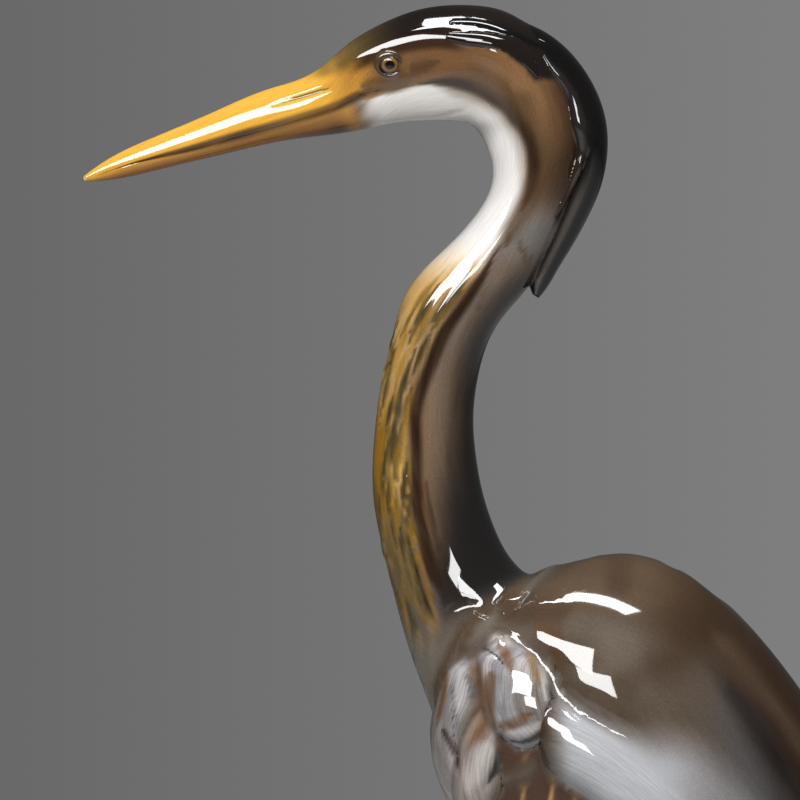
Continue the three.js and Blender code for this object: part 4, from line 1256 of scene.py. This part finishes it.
bird.stroke("umber", 2.6, 0.5, HIND_CHEEK, (0.3, 0.3))
bird.coat("dark_umber", on_core * between(cap_rise, -3.6, 1, 1.2) * between(bird.x, -46, -17, 3.5) * 0.85)
bird.stroke("umber", 2, 0.7, BEHIND_EYE, (0.1, 0.6))
bird.stroke("umber", 1.8, 0.6, BELOW_EYE, (0.2, 0.4))
rear_cheek = on_core * behind * between(over, 0, 7, 2) * between(bird.x, -14, 3, 3)
bird.coat("umber", rear_cheek * smooth(bird.z, 372, 384) * 0.6)

# The cap and crest.
cap = smooth(cap_rise + 0.5 * bird.ragged, -0.4, 1.2) * smooth(station, 6.4, 7.4)
nape = smooth(nape_depth + 0.5 * bird.ragged, -1, 1.4) * smooth(station, 12, 13.4) * (bird.z > 358)
bird.coat("olive", on_core * cap * (1 - smooth(station, 7.2, 9)))
bird.coat("cap", on_core * np.maximum(cap, nape) * smooth(station + 0.3 * bird.ragged, 6.6, 8.6))
low_cap = (1 - smooth(cap_rise, 1.5, 6)) * between(station, 9.6, 12.2, 0.6)
bird.coat("dark_umber", on_core * cap * low_cap * 0.8)
bird.coat("cap", on_crest)
bird.coat("black", heron.on("crest", "lock") * (0.75 + 0.25 * bird.ragged))
# Blue-grey on the strand's upper part: painted sheen.
bird.coat("slate", heron.on("strand") * (1 - beneath(372, 384)) * 0.2)
bird.coat("umber", heron.on("strand") * beneath(372, 384) * 0.4)
# A grey band along the middle of the crest's lower part: painted highlight.
bird.coat("taupe", heron.on("crest") * between(share, 0.42, 0.62, 0.12) * beneath(364, 380) * 0.7)

# The neck: mustard front with dark pointed strokes, a dark stripe along the side, black hind edge.
waver = 0.05 * bird.ragged
front_zone = on_core * under * (1 - smooth(station, 29.4, 31)) * (bird.z < 356)
bird.coat("cream", front_zone * beneath(346, 358, 3 * bird.fine) * 0.8)
bird.coat("ochre", front_zone * beneath(341, 352, 3 * bird.fine))
inner_front = front_zone * (1 - smooth(-over + bird.ragged, 3, 12))
bird.coat("tan", inner_front * between(bird.z, 296, 346, 6) * 0.85)
bird.coat("mustard", front_zone * smooth(share + waver, 0.78, 0.92) * beneath(296, 322))
bird.coat("olive", front_zone * beneath(262, 290) * 0.75)
edge = np.interp(bird.z, *zip(*HIND_EDGE))
hind = on_core * behind * beneath(338, 354) * (1 - smooth(station, 28, 29))
bird.coat("umber", hind * (1 - smooth(share + waver, edge + 0.02, edge + 0.4)) * 0.7)
bird.coat("night", hind * (1 - smooth(share + waver, edge - 0.1, edge + 0.24)) * 0.95)
bird.coat("night", hind * beneath(258, 278) * 0.7)
bird.coat("night", hind * beneath(272, 302) * (1 - smooth(share, 0.25, 0.62)) * 0.6)
bird.stroke("dark_umber", 1.9, 0.9, SIDE[10:], (0.2, 0.05))
bird.coat("moss", front_zone * beneath(330, 344) * smooth(bird.fine, 0.15, 0.75) * 0.25)
for n, points in enumerate(feathers):
    name, strength, width = FEATHER_PAINT[n % len(FEATHER_PAINT)]
    bird.stroke(name, width, strength, points, (0.5, 0.6), front_zone)
bird.strokes(NECK_STROKES, ends=(0.5, 0.5))

# The bill.
above_gape = bird.above(GAPE)
bird.coat("gold", bill)
bird.coat("amber", bill * smooth(-above_gape, -1.4, 3) * 0.72)
# The underside of the lower mandible: dark horn colour, darkened further as painted shade.
bird.coat("horn", bill * smooth(-above_gape, 3, 8) * 0.8)
bird.stroke("horn", 1.3, 0.7, GAPE, (0.5, 0.1))
bird.coat("olive", bill * smooth(above_gape, 8.5, 11) * smooth(station, 4.6, 5.8) * 0.7)

# Mantle and wing: brown back, dark band and pale flight feathers.
wing_line = bird.above([(row[0] / 2 + row[3] / 2, row[2] / 2 + row[5] / 2) for row in WING])
above_wing = on_core * smooth(station, 28, 28.8) * smooth(wing_line, -2, 2) * (bird.x > -4)
on_back = np.maximum(on_mantle, above_wing)
on_side = np.maximum(on_back, on_wing)
tail_x, wide_x = bird.x + 2 * bird.ragged, bird.x + 3 * bird.soft
bird.coat("bark", on_back)
middle_back = on_back * between(bird.z + 3 * bird.soft, 222, 252, 8)
bird.coat("taupe", middle_back * (1 - smooth(wide_x, 24, 54)) * 0.8)
bird.coat("bark", on_back * between(bird.x, 4, 20, 4) * between(bird.z, 236, 247, 4) * 0.6)
high_back = on_back * smooth(bird.z + 2 * bird.soft, 248, 257) * (1 - smooth(wide_x, 28, 56))
bird.coat("sienna", high_back * 0.3)
bird.coat("taupe", high_back * 0.35)
bird.coat("bark", on_back * smooth(pattern(bird.x / 9, bird.z / 7, 21), 0, 0.8) * 0.4)
bird.coat("dark_umber", on_back * smooth(tail_x, 46, 78) * 0.7)
bird.coat("taupe", on_core * between(station, 27.6, 28.6, 0.5) * (1 - on_back))
bird.coat("taupe", on_mass)
bird.coat("umber", on_mass * (0.4 + 0.2 * bird.ragged))
bird.strokes(MANTLE_STROKES, where=on_back)
edge_width = 1.5 + 6.5 * smooth(bird.x, 18, 40)
below_edge = 1 - smooth((bird.above(PALE_EDGE) + bird.ragged) / edge_width, -1, 1)
bird.coat("bark", on_wing)
below_band = 1 - smooth(bird.above([(14, 222), (34, 227), *BAND[1:]]) / 9, -1, 1)
under_band = on_side * below_band * smooth(bird.x, 14, 40)
bird.coat("taupe", under_band * 0.5)
bird.coat("slate", under_band * smooth(tail_x, 40, 64) * 0.6)
# Pale flight feathers below the pale edge; towards the front, from x 4 to 14 near the knob, the pale paint
# also stands for a painted reflection.
bird.coat("mist", on_side * below_edge * smooth(bird.x, 4, 14) * (1 - 0.5 * smooth(bird.x, 36, 58)))
bird.stroke("cap", 5.5, 0.75, BAND, (0.25, 0.2))
for name, (count, _, fade) in FEATHERED.items():
    place = feather_place(count, heron.along, share) % 1
    amount = heron.on(name) * smooth(heron.along / heron.along[heron.on(name) > 0].max(), *fade)
    bird.coat("dark_umber", amount * (smooth(place, 0.6, 0.95) + 1 - smooth(place, 0, 0.15)) * 0.45)
    bird.coat("ash", amount * between(place, 0.2, 0.6, 0.1) * 0.25)
bird.coat("pearl", on_tufts)
bird.coat("taupe", on_tufts * smooth(bird.soft, 0, 0.8) * 0.7)
bird.coat("white", on_tufts * smooth(-bird.fine, 0, 0.7) * 0.45)
bird.coat("taupe", heron.on("front_tuft") * (1 - smooth(bird.x, -23, -17)) * 0.5)
bird.coat("tan", heron.on("rear_tuft") * 0.3)
shoulder = np.maximum(on_tufts, on_mass)
bird.strokes(SHOULDER_STROKES_AND_SHADE, where=shoulder)

# Flank, breast and belly.
flank = on_core * (1 - on_back) * smooth(station, 28.2, 29.4) * (1 - smooth(bird.z, 226, 236))
bird.coat("chestnut", flank)
bird.strokes(FLANK_STROKES, where=on_core)

# Darker along the seams of the knob, tufts and mass: painted shade in the creases.
seam = 1 - smooth(heron.seam_gap / np.maximum(heron.seam_reach, 0.8), 0.1, 0.9)
bird.coat("dark_umber", seam * shoulder * 0.4)

# Eyes: a brown lid, a black rim, a tawny iris and a black pupil.
gap = np.hypot(bird.x - EYE["x"], (bird.z - EYE["z"]) / EYE_HEIGHT)
bird.coat("umber", on_eye)
bird.coat("black", on_eye * between(gap, 2.62, 3.1, 0.15))
bird.coat("umber", on_eye * (1 - smooth(gap, 2.5, 2.62)))
bird.coat("lore", on_eye * between(gap, 1.6, 2.2, 0.3) * 0.5)
bird.coat("black", on_eye * (1 - smooth(gap, 1.2, 1.35)))

# Drawn lines, then the hair brushing and the speckle.
bird.line(0.3, GAPE[7:], (0.5, 0.3))
bird.line(0.5, CARVED["nostril"][0], (0.3, 0.5))
bird.line(0.45, CARVED["tuft_arc"][0])
bird.line(0.4, CARVED["tuft_split"][0])
bird.line(0.4, CARVED["wing_groove"][0][:5], (0.2, 0.6))
# Dark lines along the seams at the knob's lower and right edges: painted shade in the creases.
seam_shade_line = heron.seam_gap / 0.5 + NO_INK * (1 - on_tufts) + NO_INK * smooth(bird.z, 229, 238)
seam_shade_line += NO_INK * (1 - smooth(bird.x, -9, -6))
bird.ink = np.minimum(bird.ink, seam_shade_line)
bird.hair -= 0.08 * on_back
bird.hair += 0.3 * on_tufts + 0.1 * on_wing + 0.15 * on_mass
bird.hair *= smooth(heron.seam_gap, 0.3, 2.5)
bird.hair[on_eye > 0] = 0
bird.speckle *= 1 - 0.85 * np.maximum(smooth(bird.colour.mean(axis=1), 0.4, 0.75), np.maximum(bill, on_eye))
bird.store()

# Legs, reeds and mound are painted in the same way.
stand.coordinates()
base = Paint(stand, "earth")
on_leg, on_reed, on_mound = stand.on("leg"), stand.on("reed"), stand.on("mound")
on_toe = stand.on(*[f.name for f in low_forms if "toe" in f.name])
shin = on_leg * (1 - on_toe)
lengths = np.array([f.along.max() for f in low_forms])
out = stand.along / lengths[stand.owner]
scales = smooth(np.cos(2 * np.pi * stand.along / SCUTE_PITCH), 0.4, 1)
edge_share = np.minimum(stand.share, 1 - stand.share)
base.coat("shank", on_leg)
base.coat("chestnut", shin * smooth(base.z + 6 * base.ragged, 108, 128))
base.coat("horn", shin * between(base.z, 20, 104, 6) * (0.35 + 0.35 * base.ragged))
base.coat("umber", shin * between(base.z, 84, 100, 5) * 0.5)
base.coat("claw", on_toe * smooth(out, 0.8, 0.86))
base.coat("horn", np.maximum(shin * (1 - smooth(base.z, 96, 108)), on_toe) * scales * 0.4)
base.coat("leaf", on_reed)
base.coat("leaf_dark", on_reed * (1 - smooth(base.z + 6 * base.ragged, 22, 84)) * 0.75)
base.coat("leaf_edge", on_reed * (1 - smooth(edge_share + 0.05 * base.ragged, 0.02, 0.16)) * 0.7)
base.coat("leaf_edge", on_reed * smooth(base.z + 8 * base.ragged, 70, 150) * 0.35)
base.coat("leaf_dark", on_reed * between(stand.share, 0.47, 0.53, 0.03) * 0.6)
base.coat("stone", on_mound * smooth(base.soft + 0.4 * base.fine, -0.2, 0.9) * 0.6)
base.coat("leaf_dark", on_mound * smooth(pattern(base.x / 13, base.y / 11, 5), 0.1, 0.7) * 0.6)
base.coat("umber", on_mound * (1 - smooth(base.z, 1, 9)) * 0.5)
# Darker along the joints of legs, toes, reeds and mound: painted shade in the creases.
seam = 1 - smooth(stand.seam_gap / np.maximum(stand.seam_reach, 1.2), 0.1, 0.8)
base.coat("dark_umber", seam * 0.6)
base.hair += 0.3 * on_reed + 0.2 * on_leg + 0.3 * on_mound
base.store()

# The fired surface: painted colour, hair brushing along the feathers, fine speckle, drawn lines, glaze.
HAIR_LONG, HAIR_FINE = (0.07, 1.2, 1), (0.12, 2.6, 1)
LONG_SHARE, HAIR_CONTRAST, DARKEST = 0.6, 0.425, 0.1
SPECKLE_SCALE, SPECKLE_CONTRAST = 1900, 0.32
NOISE_RANGE, HAIR_RANGE = (0.3, 0.7), (0.34, 0.66)
INK_COLOUR, INK_STRENGTH, INK_EDGE = (0.012, 0.009, 0.008, 1), 0.8, (0.5, 1.2)
GLAZE_IOR, GLAZE_ROUGHNESS, GLAZE_PATCHES = 1.68, (0.03, 0.07), 45
RIPPLE_SCALE, RIPPLE_HEIGHT, RIPPLE_STRENGTH = 70, 0.00012, 0.6
MIX_A, MIX_B, MIX_RESULT = 6, 7, 2


class Nodes:
    """The nodes of a material or a world. An input is a value, or an output of another node."""

    def __init__(self, owner):
        owner.use_nodes = True
        self.all, self.links = owner.node_tree.nodes, owner.node_tree.links

    def fill(self, node, inputs):
        for key, value in inputs.items():
            if isinstance(value, bpy.types.NodeSocket):
                self.links.new(value, node.inputs[key])
            else:
                node.inputs[key].default_value = value

    def add(self, kind, inputs=None, **settings):
        made = self.all.new("ShaderNode" + kind)
        for key, value in settings.items():
            setattr(made, key, value)
        self.fill(made, inputs or {})
        return made

    def spread(self, value, low, high, to_low, to_high):
        ends = {"Value": value, "From Min": low, "From Max": high, "To Min": to_low, "To Max": to_high}
        return self.add("MapRange", ends).outputs[0]

    def maths(self, operation, a, b):
        return self.add("Math", {0: a, 1: b}, operation=operation).outputs[0]

    def noise(self, vector, scale, detail):
        return self.add("TexNoise", {"Vector": vector, "Scale": scale, "Detail": detail}).outputs["Fac"]

    def field(self, name, output="Fac"):
        return self.add("Attribute", attribute_name=name).outputs[output]

    def hair(self, scales):
        """Noise drawn out along the feathers."""
        flow = self.field("flow", "Vector")
        drawn_out = self.add("VectorMath", {0: flow, 1: scales}, operation="MULTIPLY")
        return self.spread(self.noise(drawn_out.outputs[0], 1, 2), *HAIR_RANGE, -1, 1)


def porcelain():
    material = bpy.data.materials.new("painted_porcelain")
    nodes = Nodes(material)
    place = nodes.add("TexCoord").outputs["Object"]
    long_hair = nodes.maths("MULTIPLY", nodes.hair(HAIR_LONG), LONG_SHARE)
    hair = nodes.maths("ADD", long_hair, nodes.hair(HAIR_FINE))
    hair = nodes.maths("MULTIPLY", hair, nodes.field("hair"))
    speckle = nodes.spread(nodes.noise(place, SPECKLE_SCALE, 1), *NOISE_RANGE, -1, 1)
    strength = nodes.maths("MULTIPLY", nodes.field("speckle"), SPECKLE_CONTRAST)
    speckle = nodes.maths("MULTIPLY", speckle, strength)
    change = nodes.maths("ADD", nodes.maths("MULTIPLY", hair, HAIR_CONTRAST), speckle)
    factor = nodes.maths("MAXIMUM", nodes.maths("ADD", change, 1), DARKEST)
    tinted = nodes.add("VectorMath", {0: nodes.field("paint", "Color"), "Scale": factor}, operation="SCALE")
    ink = nodes.spread(nodes.field("ink"), *INK_EDGE, INK_STRENGTH, 0)
    drawn = nodes.add("Mix", {0: ink, MIX_A: tinted.outputs[0], MIX_B: INK_COLOUR}, data_type="RGBA")
    ripple = {"Strength": RIPPLE_STRENGTH, "Distance": RIPPLE_HEIGHT}
    ripple["Height"] = nodes.noise(place, RIPPLE_SCALE, 1)
    surface = {
        "Base Color": drawn.outputs[MIX_RESULT],
        "Roughness": nodes.spread(nodes.noise(place, GLAZE_PATCHES, 2), *NOISE_RANGE, *GLAZE_ROUGHNESS),
        "IOR": GLAZE_IOR,
        "Normal": nodes.add("Bump", ripple).outputs[0],
    }
    nodes.fill(nodes.all["Principled BSDF"], surface)
    return material


glazed = porcelain()
for skin in (heron, stand):
    skin.mesh.polygons.foreach_set("use_smooth", [True] * len(skin.mesh.polygons))
    skin.mesh.materials.clear()
    skin.mesh.materials.append(glazed)
    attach(skin.object, "root")
    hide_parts(NODE)

# Camera at the photograph's viewing angle: level, square to the bird's left side.
VIEW_X, VIEW_Z, VIEW_DISTANCE = -33.88, 310.24, 2000
VIEW_LENS, VIEW_SENSOR, VIEW_REACH = 321, 36, 100
camera_data = bpy.data.cameras.new("camera")
camera_data.lens, camera_data.sensor_width = VIEW_LENS, VIEW_SENSOR
camera_data.clip_end = VIEW_REACH
camera = bpy.data.objects.new("camera", camera_data)
camera.location = Vector((VIEW_X, -VIEW_DISTANCE, VIEW_Z)) * MM
camera.rotation_euler = (math.pi / 2, 0, 0)
bpy.context.scene.collection.objects.link(camera)
bpy.context.scene.camera = camera

# Floor, grey studio and lights, in metres.
FLOOR_HALF, FLOOR_COLOUR, FLOOR_ROUGHNESS = 3, (0.27, 0.27, 0.265, 1), 0.6
STUDIO_DARK, STUDIO_LIGHT = 0.14, 0.21
STUDIO_SPAN, STUDIO_MIRRORED = 0.056, 0.35
corners = np.array([[-1, -1, 0], [1, -1, 0], [1, 1, 0], [-1, 1, 0]])
floor = new_object("floor", corners * FLOOR_HALF / MM, [[0, 1, 2, 3]])
floor_paint = bpy.data.materials.new("floor")
nodes = Nodes(floor_paint)
nodes.fill(nodes.all["Principled BSDF"], {"Base Color": FLOOR_COLOUR, "Roughness": FLOOR_ROUGHNESS})
floor.data.materials.append(floor_paint)

bpy.context.scene.view_settings.view_transform = "Standard"
world = bpy.data.worlds.new("studio")
bpy.context.scene.world = world
nodes = Nodes(world)
across = nodes.add("SeparateXYZ", {0: nodes.add("TexCoord").outputs["Generated"]}).outputs["X"]
mirrored = nodes.add("LightPath").outputs["Is Glossy Ray"]
walls = {
    "Color": nodes.spread(across, -STUDIO_SPAN, STUDIO_SPAN, STUDIO_DARK, STUDIO_LIGHT),
    "Strength": nodes.spread(mirrored, 0, 1, 1, STUDIO_MIRRORED),
}
nodes.fill(nodes.all["Background"], walls)


def softbox(name, place, aim, size, power):
    light = bpy.data.lights.new(name, "AREA")
    light.shape = "RECTANGLE"
    light.size, light.size_y = size
    light.energy = power
    lamp = bpy.data.objects.new(name, light)
    lamp.location = place
    lamp.rotation_mode = "QUATERNION"
    lamp.rotation_quaternion = (Vector(aim) - Vector(place)).to_track_quat("-Z", "Y")
    lamp.visible_camera = False
    bpy.context.scene.collection.objects.link(lamp)
    return lamp


softbox("overhead", (0.14, -0.08, 1.9), (0, 0, 0.35), (0.28, 1.3), 18)
softbox("window", (-0.45, -1.25, 1.17), (0, 0, 0.3), (1.3, 0.48), 27)
softbox("low_window", (0.04, -1.5, 0.8), (0, 0, 0.3), (0.62, 0.28), 6.8)
softbox("far_side", (0.5, 1.6, 1.1), (0, 0, 0.25), (1.8, 1.4), 11).visible_glossy = False
